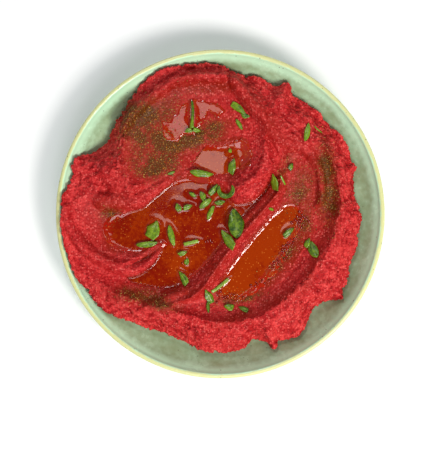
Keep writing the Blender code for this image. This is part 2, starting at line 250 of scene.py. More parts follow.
def curve_through(points: Sequence[Row], steps: int = 6) -> Values:
    """A smooth curve through rows of numbers.

    Args:
        points: The rows it passes through.
        steps: How many new rows each span gets.

    Returns:
        The curve as rows.
    """
    rows = np.array(points, float)
    rows = np.vstack([2 * rows[0] - rows[1], rows, 2 * rows[-1] - rows[-2]])
    curve = []
    for before, start, end, after in zip(rows, rows[1:], rows[2:], rows[3:]):
        for t in np.arange(steps) / steps:
            bend = 2 * before - 5 * start + 4 * end - after
            twist = 3 * start - before - 3 * end + after
            curve.append(start + 0.5 * ((end - before) * t + bend * t**2 + twist * t**3))
    curve.append(rows[-2])
    return np.array(curve)


# ================================================================ the plate's section
@dataclass(frozen=True)
class PlateSection:
    """The turned section of the plate, in mm."""

    radius: float = 100.0
    height: float = 24.5
    floor: float = 6.0
    lip: float = 1.6
    flat_radius: float = 70.0
    curve_power: float = 2.6
    foot_outer: float = 58.0
    foot_inner: float = 53.0
    foot_height: float = 2.4

    @property
    def wall_end(self) -> float:
        """The radius at which the inside meets the lip."""
        return self.radius - 2 * self.lip

    def inside(self, radius: Values) -> Values:
        """Height of the inside at a radius, up to where the lip starts."""
        share = np.clip((radius - self.flat_radius) / (self.wall_end - self.flat_radius), 0, 1)
        return self.floor + (self.height - self.lip - self.floor) * share**self.curve_power


# ================================================================ the worked surface
@dataclass(frozen=True)
class Trough:
    """A hollow left by the spoon: rows of x, y, floor height and half width, in mm."""

    points: tuple[Row, ...]
    rim: float
    power: float
    streaks: float = 0.0


@dataclass(frozen=True)
class Ridge:
    """A crest: rows of x, y, height and half width, in mm, and how torn and how soaked with oil it is."""

    points: tuple[Row, ...]
    torn: float = 0.3
    soaked: float = 0.0


@dataclass(frozen=True)
class Patch:
    """An oval patch of something scattered: centre, half axes and heading, in mm and degrees."""

    x: float
    y: float
    half_length: float
    half_width: float
    heading: float = 0.0
    strength: float = 1.0

    def cover(self, x: Values, y: Values) -> Values:
        """How much of it lies at points, fading from its strength at the centre.

        Args:
            x: Where to work it out, in mm.
            y: The same.

        Returns:
            One share for each point.
        """
        turn = math.radians(self.heading)
        along = (x - self.x) * math.cos(turn) + (y - self.y) * math.sin(turn)
        across = (y - self.y) * math.cos(turn) - (x - self.x) * math.sin(turn)
        return self.strength * np.exp(-((along / self.half_length) ** 2 + (across / self.half_width) ** 2))


@dataclass(frozen=True)
class Along:
    """Where points lie beside a stroke: distance to its left and way along it, in mm."""

    distance: Values
    way: Values


OUTLINE_BULGES: tuple[Row, ...] = (
    (180, 12.5, 19), (205, 7.5, 13), (160, 6.0, 4.5), (148, -3.0, 4.5), (222, 3.0, 9), (113, 9.5, 17),
    (92, 4.5, 10), (74, 2.0, 7), (62.5, 5.5, 2.6), (48, 2.0, 8), (30, 4.0, 8), (19.5, 2.6, 2.0),
    (8, -1.6, 3), (-2, 1.8, 6), (-14, 1.8, 4), (-28, 3.0, 5), (-34.5, 5.5, 3.2), (-45, -3.2, 5),
    (-57, 3.5, 6), (-68, 4.2, 1.8), (-75, -4.8, 4), (-98, 0.8, 2.0), (-109, -3.6, 7), (-119, -2.4, 6),
    (-142, 2.5, 7),
)

TROUGHS: dict[str, Trough] = {
    "north_scoop": Trough(
        points=((-31, 40, 20.5, 31), (-18, 46, 19, 35), (-6, 48, 18, 34)),
        rim=27.0, power=6.0, streaks=0.1,
    ),
    "north_hollow": Trough(
        points=((-14, 36, 16.5, 13), (0, 32, 15.2, 13), (11, 37, 15.8, 10)),
        rim=20.0, power=2.0,
    ),
    "west_scoop": Trough(
        points=((-76, 1, 22.5, 17.5), (-65, -9, 16.5, 24), (-52, -12, 13.5, 19)),
        rim=27.0, power=2.8, streaks=0.16,
    ),
    "middle_scoop": Trough(
        points=((-54, -7, 13.5, 11), (-32, -1, 12.5, 22.5), (-14, 3, 12.5, 25), (0, 0, 12.8, 13)),
        rim=22.0, power=3.0,
    ),
    "south_sweep": Trough(
        points=(
            (-88, -18, 22.5, 5), (-76, -32, 19.5, 6), (-54, -39.5, 15, 9.5), (-30, -31, 12.5, 19.5),
            (2, -6, 13, 12), (25, 13, 14.6, 7), (32, 21, 18, 4),
        ),
        rim=22.0, power=2.1, streaks=0.14,
    ),
    "east_sweep": Trough(
        points=(
            (48, 30, 21, 11), (50.5, 1, 17.5, 19.5), (42, -14, 17, 23), (17.5, -42.5, 16.5, 20),
            (-4, -54, 17.5, 11), (-15, -56, 20, 6), (-26, -56.5, 23, 3),
        ),
        rim=26.5, power=3.8, streaks=0.2,
    ),
    "east_hollow": Trough(
        points=((43, -1, 14.6, 10), (34, -13, 13.5, 12), (15, -37, 13.5, 12), (7, -46, 14.4, 10)),
        rim=18.5, power=2.2,
    ),
    "outer_groove": Trough(
        points=((56, 43, 24, 3), (62, 35, 21.5, 5), (67.5, 13, 18, 6.5), (65, 2, 18, 7)),
        rim=26.0, power=2.2, streaks=0.12,
    ),
    "saddle": Trough(
        points=((30, 46, 21.5, 3), (35, 38, 21, 5), (40, 31, 20.5, 8)),
        rim=25.0, power=2.0,
    ),
}

RIDGES: dict[str, Ridge] = {
    "west_lip": Ridge(
        points=(
            (-94, 4, 28, 4), (-91, -9, 27.5, 4), (-79, -24, 26, 4), (-57, -34, 23.5, 4),
            (-44, -29.5, 20.5, 3.4), (-37, -21, 16.8, 2.6),
        ),
        torn=0.30, soaked=0.10,
    ),
    "west_tongue": Ridge(
        points=(
            (-72, 9, 26.5, 6), (-53, 9, 24.5, 5.5), (-45, 12.5, 22.5, 4.6), (-28, 24, 19.5, 3.6),
            (-18, 28, 17, 3),
        ),
        torn=0.50, soaked=0.25,
    ),
    "centre_lobe": Ridge(
        points=((27, 31, 23, 8), (22, 25, 23.5, 9), (16, 18, 23, 9.5), (11, 13, 20.8, 7.5)),
        torn=0.65, soaked=0.0,
    ),
    "inner_ridge": Ridge(
        points=(
            (37.5, 22, 22, 4), (27, 6.5, 20.6, 4), (13.5, -7, 19.8, 4.2), (0, -26.5, 20.2, 4.8),
            (-12, -43.5, 21.8, 5), (-32, -52, 24, 5),
        ),
        torn=0.25, soaked=0.65,
    ),
    "long_ridge": Ridge(
        points=(
            (8, 80, 28, 4), (24, 62, 28, 4.5), (35, 47, 27, 5), (50, 40, 26, 4), (60, 27, 25, 3.5),
            (61.5, 10, 23.5, 3), (59, 4, 20, 2.5),
        ),
        torn=0.35, soaked=0.50,
    ),
    "north_crest": Ridge(
        points=((-58, 52, 28, 3), (-50, 64, 28, 3.5), (-26, 81, 28.5, 3.5), (2, 83, 28.5, 3.5)),
        torn=0.80,
    ),
    "west_knob": Ridge(points=((-70, 26, 29, 5), (-64, 25, 28.5, 6)), torn=1.0),
    "saddle_ridge": Ridge(points=((33, 44, 23.5, 2.5), (36, 38, 23, 2.5), (38, 31, 22, 2.5)), torn=0.45),
}

# Rows of x, y, depth and half width, in mm.
FOLDS: dict[str, tuple[Row, ...]] = {
    "north_east": ((18, 82, 2.5, 3), (33, 66, 3, 3), (50, 49, 3, 4)),
    "east_rim": ((44, 67, 1.5, 2.5), (63, 56, 2.5, 2.5), (78, 37, 2, 2.5), (81, 28, 1, 2)),
    "east_inner": ((56, 55, 1.5, 2.5), (65, 46, 2.2, 2.5), (71, 37, 1.5, 2.5)),
    "south": ((-24, -69, 1.2, 2), (-13, -67, 2.6, 2.4), (-4, -71, 3.2, 2.6), (5, -74, 1.2, 2)),
    "south_west": ((-57, -58, 1.5, 2.5), (-49, -54, 2.6, 2.5), (-40, -51, 1.5, 2.5)),
    "west": ((-76, 24, 2.5, 3), (-72, 17, 4, 3.5), (-68, 13, 2, 3)),
    "south_east": ((60, -40, 1.5, 2.5), (66, -38, 2.2, 2.5), (74, -33, 1.8, 2)),
}


def depth_inside(corners: Sequence[Row], x: Values, y: Values) -> Values:
    """How deep points lie inside a closed outline.

    Args:
        corners: The outline's corners in mm, in order.
        x: Where to work it out, in mm.
        y: The same.

    Returns:
        Distance in mm to the outline, below zero outside it.
    """
    inside = np.zeros(np.shape(x), bool)
    nearest = np.full(np.shape(x), np.inf)
    for (x1, y1), (x2, y2) in zip(corners, (*corners[1:], corners[0])):
        run_x, run_y = x2 - x1, y2 - y1
        share = np.clip(((x - x1) * run_x + (y - y1) * run_y) / (run_x**2 + run_y**2), 0, 1)
        nearest = np.minimum(nearest, np.hypot(x - x1 - share * run_x, y - y1 - share * run_y))
        if run_y:
            inside ^= ((y1 > y) != (y2 > y)) & (x < x1 + (y - y1) * run_x / run_y)
    return np.where(inside, nearest, -nearest)


class Pool(Enum):
    """The level pools of oil, named as their CAD nodes are."""

    WEST = "oil_west"
    EAST = "oil_east"
    NORTH = "oil_north"


@dataclass(frozen=True)
class PoolShape:
    """A pool: its level in mm, and the banks around it as corners in mm."""

    level: float
    banks: tuple[Row, ...]
    warmth: float = 0.5

    def contains(self, x: Values, y: Values) -> Values:
        """Which points lie between the banks."""
        return depth_inside(self.banks, x, y) > 0


POOLS: dict[Pool, PoolShape] = {
    Pool.WEST: PoolShape(
        level=16.1, warmth=0.35,
        banks=(
            (-72, 4), (-50, 14), (-25, 26), (0, 27), (14, 14), (34, 28), (36, 16), (16, -9), (-5, -37),
            (-28, -47), (-55, -42), (-74, -20),
        ),
    ),
    Pool.EAST: PoolShape(
        level=16.1, warmth=0.75,
        banks=((54, 8), (36, 8), (16, -9), (2, -30), (-4, -50), (16, -54), (40, -38), (58, -10)),
    ),
    Pool.NORTH: PoolShape(
        level=17.0,
        banks=((-18, 30), (-8, 44), (12, 48), (20, 38), (8, 25), (-8, 24)),
    ),
}

# Thin films of oil on the floors of the north scoop and hollow, as outlines in mm.
OIL_FILMS: tuple[tuple[Row, ...], ...] = (
    (
        (-36, 57), (-30, 58), (-24, 67), (-16, 71), (-9, 69), (0, 67), (4, 63), (-1, 59), (-7, 62),
        (-11, 55), (-16, 49), (-22, 49), (-26, 44), (-33, 45), (-35, 51),
    ),
    ((8, 44), (13, 47), (17, 44), (20, 36), (18, 29), (13, 28), (9, 33)),
    ((-20, 24), (-14, 27), (-7, 24), (-6, 18), (-12, 17), (-19, 21)),
)

# Where the paste is darkened: partly oil soaked into the hummus, partly painted shade on shaded inner walls
# and trough floors.
OILED_AND_SHADED_PATCHES: tuple[Patch, ...] = (
    Patch(-22, 46, 38, 27, 20, 0.6),
    Patch(-36, 68, 30, 5, 40, 1.0),
    Patch(-8, 77, 22, 4.5, 0, 1.0),
    Patch(-64, -6, 16, 19, 0, 0.95),
    Patch(50, 8, 32, 13, 98, 0.6),
    Patch(33, -36, 26, 11, 50, 0.6),
    Patch(-32, -47, 30, 6, 3, 0.95),
    Patch(6, 27, 12, 4.5, 78, 0.9),
    Patch(67, 16, 26, 4.5, 94, 0.85),
    Patch(24, -56, 26, 4, 24, 0.8),
    Patch(58, -28, 24, 4, 66, 0.7),
    Patch(22, -1, 26, 5, 47, 0.3),
    Patch(-5, -38, 14, 5, 50, 0.3),
)

# Where ground spice was shaken over the plate.
SPICE_PATCHES: tuple[Patch, ...] = (
    Patch(-50, 57, 9, 13, 30, 0.9),
    Patch(-34, 44, 17, 7, 12, 1.0),
    Patch(-10, 50, 13, 6, 20, 1.0),
    Patch(-40, 29, 13, 7, 8, 0.9),
    Patch(-68, 0, 7, 4, -25, 0.9),
    Patch(50, 16, 13, 9, 80, 0.6),
    Patch(65, 28, 14, 4, 100, 1.0),
    Patch(66, 8, 14, 4.5, 88, 1.0),
    Patch(49, -3.5, 6, 5, -30, 1.0),
    Patch(-48, -50, 14, 4, -8, 0.9),
    Patch(-33, -56, 8, 3, -5, 0.7),
    Patch(38, -27, 16, 3.5, 52, 0.9),
    Patch(12, -51, 12, 3.5, 12, 0.9),
    Patch(40, 30, 8, 3, 60, 0.5),
    Patch(-40, 60, 22, 10, 20, 0.45),
)


class WorkedSurface:
    """The hummus's surface, as one height over the plate, with what the materials need to know."""

    MOUND_TOP = 26.5
    EDGE_THICKNESS = 5.5
    SHOULDER = 19.0
    SHOULDER_POWER = 2.2
    OUTLINE_RADIUS = 84.5
    OUTLINE_LIMIT = 96.0
    THINNEST = 2.8
    LEAST_RISE = 1.0
    RIDGE_DROP = 5.0
    RIDGE_POWER = 2.3
    RIDGE_BLEND = 1.2
    TROUGH_BLEND = 1.6
    SMOOTHED_DEPTH = 3.0
    SOAK_HEIGHT = 2.6
    STREAK_WIDTH = 1.5
    STREAK_LENGTH = 14.0

    def __init__(self, plate: PlateSection) -> None:
        """Keeps the plate that the hummus lies on."""
        self.plate = plate

    def outline(self, angle: Values) -> Values:
        """Radius in mm of the outline in directions in radians.

        Args:
            angle: Directions from the middle of the plate, in radians.

        Returns:
            One radius for each direction.
        """
        degrees = np.degrees(angle)
        radius = np.full_like(degrees, self.OUTLINE_RADIUS)
        for direction, reach, spread in OUTLINE_BULGES:
            away = (degrees - direction + 180) % 360 - 180
            radius = radius + reach * np.exp(-((away / spread) ** 2))
        return np.minimum(radius, self.OUTLINE_LIMIT)

    def mound(self, x: Values, y: Values) -> Values:
        """Height of the mound before it is worked.

        Args:
            x: Where to work it out, in mm.
            y: The same.

        Returns:
            Heights in mm.
        """
        radius = np.hypot(x, y)
        edge = self.plate.inside(radius) + self.EDGE_THICKNESS
        summit = np.maximum(self.MOUND_TOP, edge + 1)
        share = np.clip((self.outline(np.arctan2(y, x)) - radius) / self.SHOULDER, 0, 1)
        return edge + (summit - edge) * (1 - (1 - share) ** self.SHOULDER_POWER)

    @staticmethod
    def along_stroke(
        points: Sequence[Row],
        x: Values,
        y: Values,
        section: Callable[[Values, Values], Values],
        choose: Callable[[Values, Values], Values],
    ) -> Values:
        """The chosen value of a section over all stretches of a stroke.

        Args:
            points: Rows of x, y, level and half width in mm.
            x: Where to work it out, in mm.
            y: The same.
            section: Gives a value from distance over half width, and level.
            choose: Keeps one of two values.

        Returns:
            One value for each point.
        """
        chosen = None
        curve = curve_through(points)
        for start, end in zip(curve, curve[1:]):
            run = end[:2] - start[:2]
            share = np.clip(((x - start[0]) * run[0] + (y - start[1]) * run[1]) / (run @ run), 0, 1)
            distance = np.hypot(x - start[0] - share * run[0], y - start[1] - share * run[1])
            level = start[2] + (end[2] - start[2]) * share
            width = start[3] + (end[3] - start[3]) * share
            value = section(distance / width, level)
            chosen = value if chosen is None else choose(chosen, value)
        return chosen

    @staticmethod
    def beside_stroke(points: Sequence[Row], x: Values, y: Values) -> Along:
        """Where points lie beside a stroke.

        Args:
            points: Rows of x, y, level and half width in mm.
            x: Where to work it out, in mm.
            y: The same.

        Returns:
            Signed distance to its left and way along it, in mm.
        """
        curve = curve_through(points)
        nearest = np.full(np.shape(x), np.inf)
        signed, way = np.zeros_like(nearest), np.zeros_like(nearest)
        walked = 0.0
        for start, end in zip(curve, curve[1:]):
            run = end[:2] - start[:2]
            length = float(np.hypot(*run))
            off_x, off_y = x - start[0], y - start[1]
            share = np.clip((off_x * run[0] + off_y * run[1]) / length**2, 0, 1)
            distance = np.hypot(off_x - share * run[0], off_y - share * run[1])
            closer = distance < nearest
            side = np.sign(run[0] * off_y - run[1] * off_x)
            signed = np.where(closer, side * distance, signed)
            way = np.where(closer, walked + share * length, way)
            nearest = np.where(closer, distance, nearest)
            walked += length
        return Along(signed, way)

    def worked(self, x: Values, y: Values) -> tuple[Values, Values]:
        """Height of the worked surface, and how rough it is.

        Args:
            x: Where to work it out, in mm.
            y: The same.

        Returns:
            Heights in mm, and roughness from 0, smoothed by the spoon, to 1, torn.
        """
        base = self.mound(x, y)
        top = base
        for trough in TROUGHS.values():

            def hollow(distance: Values, floor: Values, trough: Trough = trough) -> Values:
                """The trough's cross-section."""
                rise = np.maximum(trough.rim - floor, self.LEAST_RISE)
                return floor + rise * distance**trough.power

            level = self.along_stroke(trough.points, x, y, hollow, np.minimum)
            top = smooth_lower(top, level, self.TROUGH_BLEND)
        rough = np.clip(1 - (base - top) / self.SMOOTHED_DEPTH, 0, 1)

        def crest(distance: Values, level: Values) -> Values:
            """A ridge's cross-section."""
            return level - self.RIDGE_DROP * distance**self.RIDGE_POWER

        for ridge in RIDGES.values():
            level = self.along_stroke(ridge.points, x, y, crest, np.maximum)
            top = smooth_upper(top, level, self.RIDGE_BLEND)

            def near(distance: Values, level: Values) -> Values:
                """1 on the ridge and 0 beside it."""
                return np.exp(-((distance / 1.1) ** 4))

            share = self.along_stroke(ridge.points, x, y, near, np.maximum)
            rough = rough + (ridge.torn - rough) * share

        def fold(distance: Values, depth: Values) -> Values:
            """A fold's cross-section."""
            return depth * np.exp(-(distance**2))

        for points in FOLDS.values():
            top = top - self.along_stroke(points, x, y, fold, np.maximum)
        top = np.maximum(top, self.plate.inside(np.hypot(x, y)) + self.THINNEST)
        return top, rough

    def streaks(self, x: Values, y: Values) -> Values:
        """Fine lines that the spoon drew along its troughs, as a height in mm.

        Args:
            x: Where to work it out, in mm.
            y: The same.

        Returns:
            Heights in mm, above and below 0.
        """
        total = np.zeros_like(x)
        for number, trough in enumerate(TROUGHS.values()):
            if not trough.streaks:
                continue
            beside = self.beside_stroke(trough.points, x, y)
            half_width = max(point[3] for point in trough.points)
            inside = 1 - smooth_step(0.75 * half_width, 1.05 * half_width, np.abs(beside.distance))
            across, along = beside.distance / self.STREAK_WIDTH, beside.way / self.STREAK_LENGTH
            places = np.stack([across, along, np.full_like(x, number * 9.0)], axis=1)
            total = total + trough.streaks * inside * noise_over(places, 1.0, 3, 2)
        return total

    def oil_soak_and_shade(self, x: Values, y: Values, height: Values) -> Values:
        """How much oil has soaked in, together with painted shade on shaded walls and floors, from 0 to 1.

        Args:
            x: Where to work it out, in mm.
            y: The same.
            height: The hummus's height there, in mm.

        Returns:
            One share for each point.
        """
        soaked = np.zeros_like(x)
        for shape in POOLS.values():
            above = np.clip(height - shape.level, 0, None)
            near = shape.contains(x, y) * np.exp(-((above / self.SOAK_HEIGHT) ** 2))
            soaked = np.maximum(soaked, near)
        for ridge in RIDGES.values():

            def soak(distance: Values, level: Values, amount: float = ridge.soaked) -> Values:
                """Soaked along the ridge."""
                return amount * np.exp(-((distance / 1.5) ** 2))

            soaked = np.maximum(soaked, self.along_stroke(ridge.points, x, y, soak, np.maximum))
        for patch in OILED_AND_SHADED_PATCHES:
            soaked = np.maximum(soaked, patch.cover(x, y))
        return np.clip(soaked * (1 + 0.5 * noise_over(flat_places(x, y), 9.0, 12, 3)), 0, 1)

    def spice(self, x: Values, y: Values) -> Values:
        """How thickly ground spice lies, from 0 to 1."""
        total = sum(patch.cover(x, y) for patch in SPICE_PATCHES)
        return np.clip(total * (1 + 0.9 * noise_over(flat_places(x, y), 7.0, 11, 3)), 0, 1)


# ================================================================ materials
class Graph:
    """A short way to write a node tree."""

    def __init__(self, tree: Tree, coordinates: str = "Object") -> None:
        """Keeps the tree, and its coordinates of a named kind if there is one."""
        self.tree = tree
        self.place = self.add("TexCoord").outputs[coordinates] if coordinates else None

    def add(self, kind: str, **settings: object) -> bpy.types.Node:
        """Adds a node.

        Args:
            kind: The node's type name, without "ShaderNode".
            **settings: Its properties.

        Returns:
            The node.
        """
        node = self.tree.nodes.new("ShaderNode" + kind)
        for name, value in settings.items():
            setattr(node, name, value)
        return node

    def wire(self, source: object, target: Socket) -> None:
        """Joins two sockets, or sets the second to a value.

        Args:
            source: A socket or a value.
            target: The input that takes it.
        """
        if isinstance(source, bpy.types.NodeSocket):
            self.tree.links.new(source, target)
        else:
            target.default_value = source

    def math(self, operation: str, a: object, b: object = 0.0, clamp: bool = False) -> Socket:
        """A Math node's result.

        Args:
            operation: The node's operation.
            a: The first socket or value.
            b: The second.
            clamp: Whether the result stays within 0 and 1.

        Returns:
            Its output.
        """
        node = self.add("Math", operation=operation, use_clamp=clamp)
        self.wire(a, node.inputs[0])
        self.wire(b, node.inputs[1])
        return node.outputs[0]

    def plus(self, a: object, b: object, clamp: bool = False) -> Socket:
        """The sum of two values."""
        return self.math("ADD", a, b, clamp)

    def minus(self, a: object, b: object) -> Socket:
        """The difference of two values."""
        return self.math("SUBTRACT", a, b)

    def times(self, a: object, b: object, clamp: bool = False) -> Socket:
        """The product of two values."""
        return self.math("MULTIPLY", a, b, clamp)

    def mix(self, share: object, a: object, b: object) -> Socket:
        """Mixes two colours.

        Args:
            share: How much of the second colour shows.
            a: The first colour or socket.
            b: The second.

        Returns:
            The mixed colour.
        """
        node = self.add("Mix", data_type="RGBA")
        self.wire(share, node.inputs["Factor"])
        colours = [socket for socket in node.inputs if socket.type == "RGBA"]
        for value, socket in zip((a, b), colours):
            self.wire((*value, 1) if isinstance(value, tuple) else value, socket)
        return next(socket for socket in node.outputs if socket.type == "RGBA")

    def ramp(self, value: object, low: float, high: float) -> Socket:
        """Maps low to 0 and high to 1, smoothly and within them.

        Args:
            value: The socket to map.
            low: What becomes 0.
            high: What becomes 1.

        Returns:
            A value from 0 to 1.
        """
        node = self.add("MapRange", interpolation_type="SMOOTHSTEP")
        self.wire(value, node.inputs["Value"])
        node.inputs["From Min"].default_value = low
        node.inputs["From Max"].default_value = high
        return node.outputs["Result"]

    def attribute(self, name: str) -> Socket:
        """A vertex value of the piece."""
        return self.add("Attribute", attribute_name=name).outputs["Fac"]

    def noise(self, place: object, scale: object, detail: float = 2.0) -> Socket:
        """Noise from 0 to 1; scale is lumps per metre.

        Args:
            place: The coordinates.
            scale: Lumps per metre.
            detail: How many finer layers are added.

        Returns:
            The noise.
        """
        node = self.add("TexNoise")
        self.wire(place, node.inputs["Vector"])
        self.wire(scale, node.inputs["Scale"])
        node.inputs["Detail"].default_value = detail
        return node.outputs["Fac"]

    def bump(self, height: object, strength: float, distance: float) -> Socket:
        """A Bump node's normal; distance in mm.

        Args:
            height: The socket that gives the relief.
            strength: How much of it shows, from 0 to 1.
            distance: The height in mm of a relief from 0 to 1.

        Returns:
            The bumped normal.
        """
        node = self.add("Bump")
        self.wire(height, node.inputs["Height"])
        node.inputs["Strength"].default_value = strength
        node.inputs["Distance"].default_value = distance * MM
        return node.outputs["Normal"]


def new_group(
    name: str, inputs: dict[str, float | None], outputs: Iterable[str]
) -> tuple[Graph, dict[str, Socket], dict[str, Socket]]:
    """Starts a shader node group.

    Args:
        name: Its name.
        inputs: Each input's name and default; None makes a vector input.
        outputs: The names of its number outputs.

    Returns:
        The graph, its input sockets and its output sockets by name.
    """
    tree = bpy.data.node_groups.new(name, "ShaderNodeTree")
    for title, default in inputs.items():
        kind = "NodeSocketVector" if default is None else "NodeSocketFloat"
        made = tree.interface.new_socket(title, in_out="INPUT", socket_type=kind)
        if default is not None:
            made.default_value = default
    for title in outputs:
        tree.interface.new_socket(title, in_out="OUTPUT", socket_type="NodeSocketFloat")
    entry, leave = tree.nodes.new("NodeGroupInput"), tree.nodes.new("NodeGroupOutput")
    named_in = {socket.name: socket for socket in entry.outputs if socket.name}
    named_out = {socket.name: socket for socket in leave.inputs if socket.name}
    return Graph(tree, ""), named_in, named_out


def build_mottle_group() -> Tree:
    """Soft blotches of two sizes, as one value from 0 to 1.

    Returns:
        The group.
    """
    graph, entry, leave = new_group("mottle", {"Place": None, "Scale": 200.0, "Fine": 4.0}, ("Value",))
    coarse = graph.noise(entry["Place"], entry["Scale"], 3.0)
    fine_scale = graph.times(entry["Scale"], entry["Fine"])
    fine = graph.noise(entry["Place"], fine_scale, 2.0)
    total = graph.plus(graph.times(coarse, 0.6), graph.times(fine, 0.4))
    graph.wire(graph.ramp(total, 0.32, 0.68), leave["Value"])
    return graph.tree


def build_speck_group() -> Tree:
    """Scattered round specks: a mask, from cells of which only a share hold one.

    Returns:
        The group.
    """
    inputs = {"Place": None, "Scale": 500.0, "Share": 0.3, "Size": 0.35}
    graph, entry, leave = new_group("specks", inputs, ("Mask", "Pick"))
    cells = graph.add("TexVoronoi", feature="F1")
    graph.wire(entry["Place"], cells.inputs["Vector"])
    graph.wire(entry["Scale"], cells.inputs["Scale"])
    pick = graph.add("SeparateColor")
    graph.wire(cells.outputs["Color"], pick.inputs[0])
    chosen = graph.math("LESS_THAN", pick.outputs[0], entry["Share"])
    ratio = graph.math("DIVIDE", cells.outputs["Distance"], entry["Size"])
    near = graph.minus(1.0, graph.ramp(ratio, 0.6, 1.0))
    graph.wire(graph.times(chosen, near), leave["Mask"])
    graph.wire(pick.outputs[1], leave["Pick"])
    return graph.tree


def build_grain_group() -> Tree:
    """The grain of a ground paste: rounded crumbs with fine pits, as a height from 0 to 1.

    Returns:
        The group.
    """
    graph, entry, leave = new_group("paste_grain", {"Place": None, "Scale": 900.0}, ("Height",))
    cells = graph.add("TexVoronoi", feature="SMOOTH_F1")
    graph.wire(entry["Place"], cells.inputs["Vector"])
    graph.wire(entry["Scale"], cells.inputs["Scale"])
    crumbs = graph.minus(1.0, cells.outputs["Distance"])
    pits = graph.noise(entry["Place"], graph.times(entry["Scale"], 2.3), 2.0)
    total = graph.plus(graph.times(crumbs, 0.7), graph.times(pits, 0.3))
    graph.wire(total, leave["Height"])
    return graph.tree


@dataclass
class Effects:
    """The shader node groups that the finishes share."""

    mottle: Tree = field(default_factory=build_mottle_group)
    specks: Tree = field(default_factory=build_speck_group)
    grain: Tree = field(default_factory=build_grain_group)

    @staticmethod
    def place(graph: Graph, group: Tree, **values: object) -> bpy.types.Node:
        """Puts a group into a material, on its Object coordinates, with its own values.

        Args:
            graph: The material's graph.
            group: One of the shared groups.
            **values: A value or a socket for each named input.

        Returns:
            The group node.
        """
        node = graph.add("Group")
        node.node_tree = group
        graph.wire(graph.place, node.inputs["Place"])
        for name, value in values.items():
            graph.wire(value, node.inputs[name])
        return node

    def cloud(self, graph: Graph, scale: float, fine: float) -> Socket:
        """Soft blotches from 0 to 1: scale is lumps per metre, fine how much smaller the second size is."""
        return self.place(graph, self.mottle, Scale=scale, Fine=fine).outputs["Value"]

    def dots(self, graph: Graph, scale: float, share: float, size: float) -> bpy.types.NodeOutputs:
        """Specks, as their Mask and a Pick that differs between them."""
        return self.place(graph, self.specks, Scale=scale, Share=share, Size=size).outputs


def start_material(name: str) -> tuple[Material, Graph, bpy.types.Node]:
    """A new material with its graph and its Principled shader.

    Args:
        name: The material's name.

    Returns:
        The material, its graph and its shader.
    """
    material = bpy.data.materials.new(name)
    material.use_nodes = True
    graph = Graph(material.node_tree)
    return material, graph, material.node_tree.nodes["Principled BSDF"]


@dataclass(frozen=True)
class HummusFinish:
    """Moist beetroot paste, with painted shade in its creases and pits, painted light on its raised crumbs
    and painted glints; redder and darker where oil has soaked in and where shade is painted on walls and
    floors.
    """

    # crease is painted shade for creases and pits; deep to bright is the paste's red, lighter where painted
    # light falls on raised crumbs.
    crease: Colour = (0.24, 0.003, 0.005)
    deep: Colour = (0.40, 0.011, 0.013)
    bright: Colour = (0.64, 0.044, 0.042)
    # Dark red of oil soaked into the paste, also used as painted shade on shaded walls and floors.
    oiled_and_shaded: Colour = (0.24, 0.010, 0.002)
    painted_glint: Colour = (0.76, 0.13, 0.11)
    spice: Colour = (0.075, 0.029, 0.003)
    gold: Colour = (0.55, 0.17, 0.015)
    roughness: float = 0.42
    grain_roughness: float = 0.20
    oil_gloss: float = 0.20
    specular: float = 0.12

    def build(self, effects: Effects) -> Material:
        """Makes the material.

        Args:
            effects: The shared node groups.

        Returns:
            The material.
        """
        material, graph, shader = start_material("beetroot_hummus")
        relief_shading, oily = graph.attribute("relief_shading"), graph.attribute("oily")
        blotches = effects.cloud(graph, scale=170.0, fine=5.0)
        grains = effects.cloud(graph, scale=900.0, fine=1.9)
        # Painted shade and light: points sunk below the surface darken towards crease, points that stand
        # out lighten towards bright.
        stand = graph.times(graph.minus(relief_shading, 0.5), 1.1)
        spread = graph.plus(graph.times(blotches, 0.35), stand)
        spread = graph.plus(spread, graph.times(grains, 0.65))
        colour = graph.mix(graph.ramp(spread, -0.20, 0.40), self.crease, self.deep)
        colour = graph.mix(graph.ramp(spread, 0.30, 0.95), colour, self.bright)
        # Darker where oil has soaked in, and painted shade where the patches cover shaded walls and floors.
        colour = graph.mix(graph.times(oily, 0.95), colour, self.oiled_and_shaded)
        # Painted glints: pale pink specks in the base colour standing in for light caught by the grain.
        painted_glints = effects.dots(graph, scale=820.0, share=0.26, size=0.55)
        colour = graph.mix(graph.times(painted_glints["Mask"], 0.55), colour, self.painted_glint)
        # Painted shade: dark specks of the crease colour for shade inside small pits of the grain.
        pits = effects.dots(graph, scale=760.0, share=0.34, size=0.45)
        colour = graph.mix(graph.times(pits["Mask"], 0.6), colour, self.crease)
        cover = graph.attribute("spice")
        dusty = graph.times(cover, graph.plus(grains, 0.6), clamp=True)
        colour = graph.mix(graph.times(dusty, 0.9), colour, self.spice)
        golden = effects.dots(graph, scale=1000.0, share=0.22, size=0.42)
        sprinkled = graph.times(golden["Mask"], graph.plus(cover, 0.06))
        colour = graph.mix(graph.times(sprinkled, 0.8, clamp=True), colour, self.gold)
        graph.wire(colour, shader.inputs["Base Color"])
        gloss = graph.times(oily, -self.oil_gloss)
        rough = graph.plus(graph.times(grains, self.grain_roughness), self.roughness)
        graph.wire(graph.plus(rough, gloss), shader.inputs["Roughness"])
        shader.inputs["Specular IOR Level"].default_value = self.specular
        grain = effects.place(graph, effects.grain, Scale=1000.0).outputs["Height"]
        graph.wire(graph.bump(grain, 1.0, 0.5), shader.inputs["Normal"])
        return material


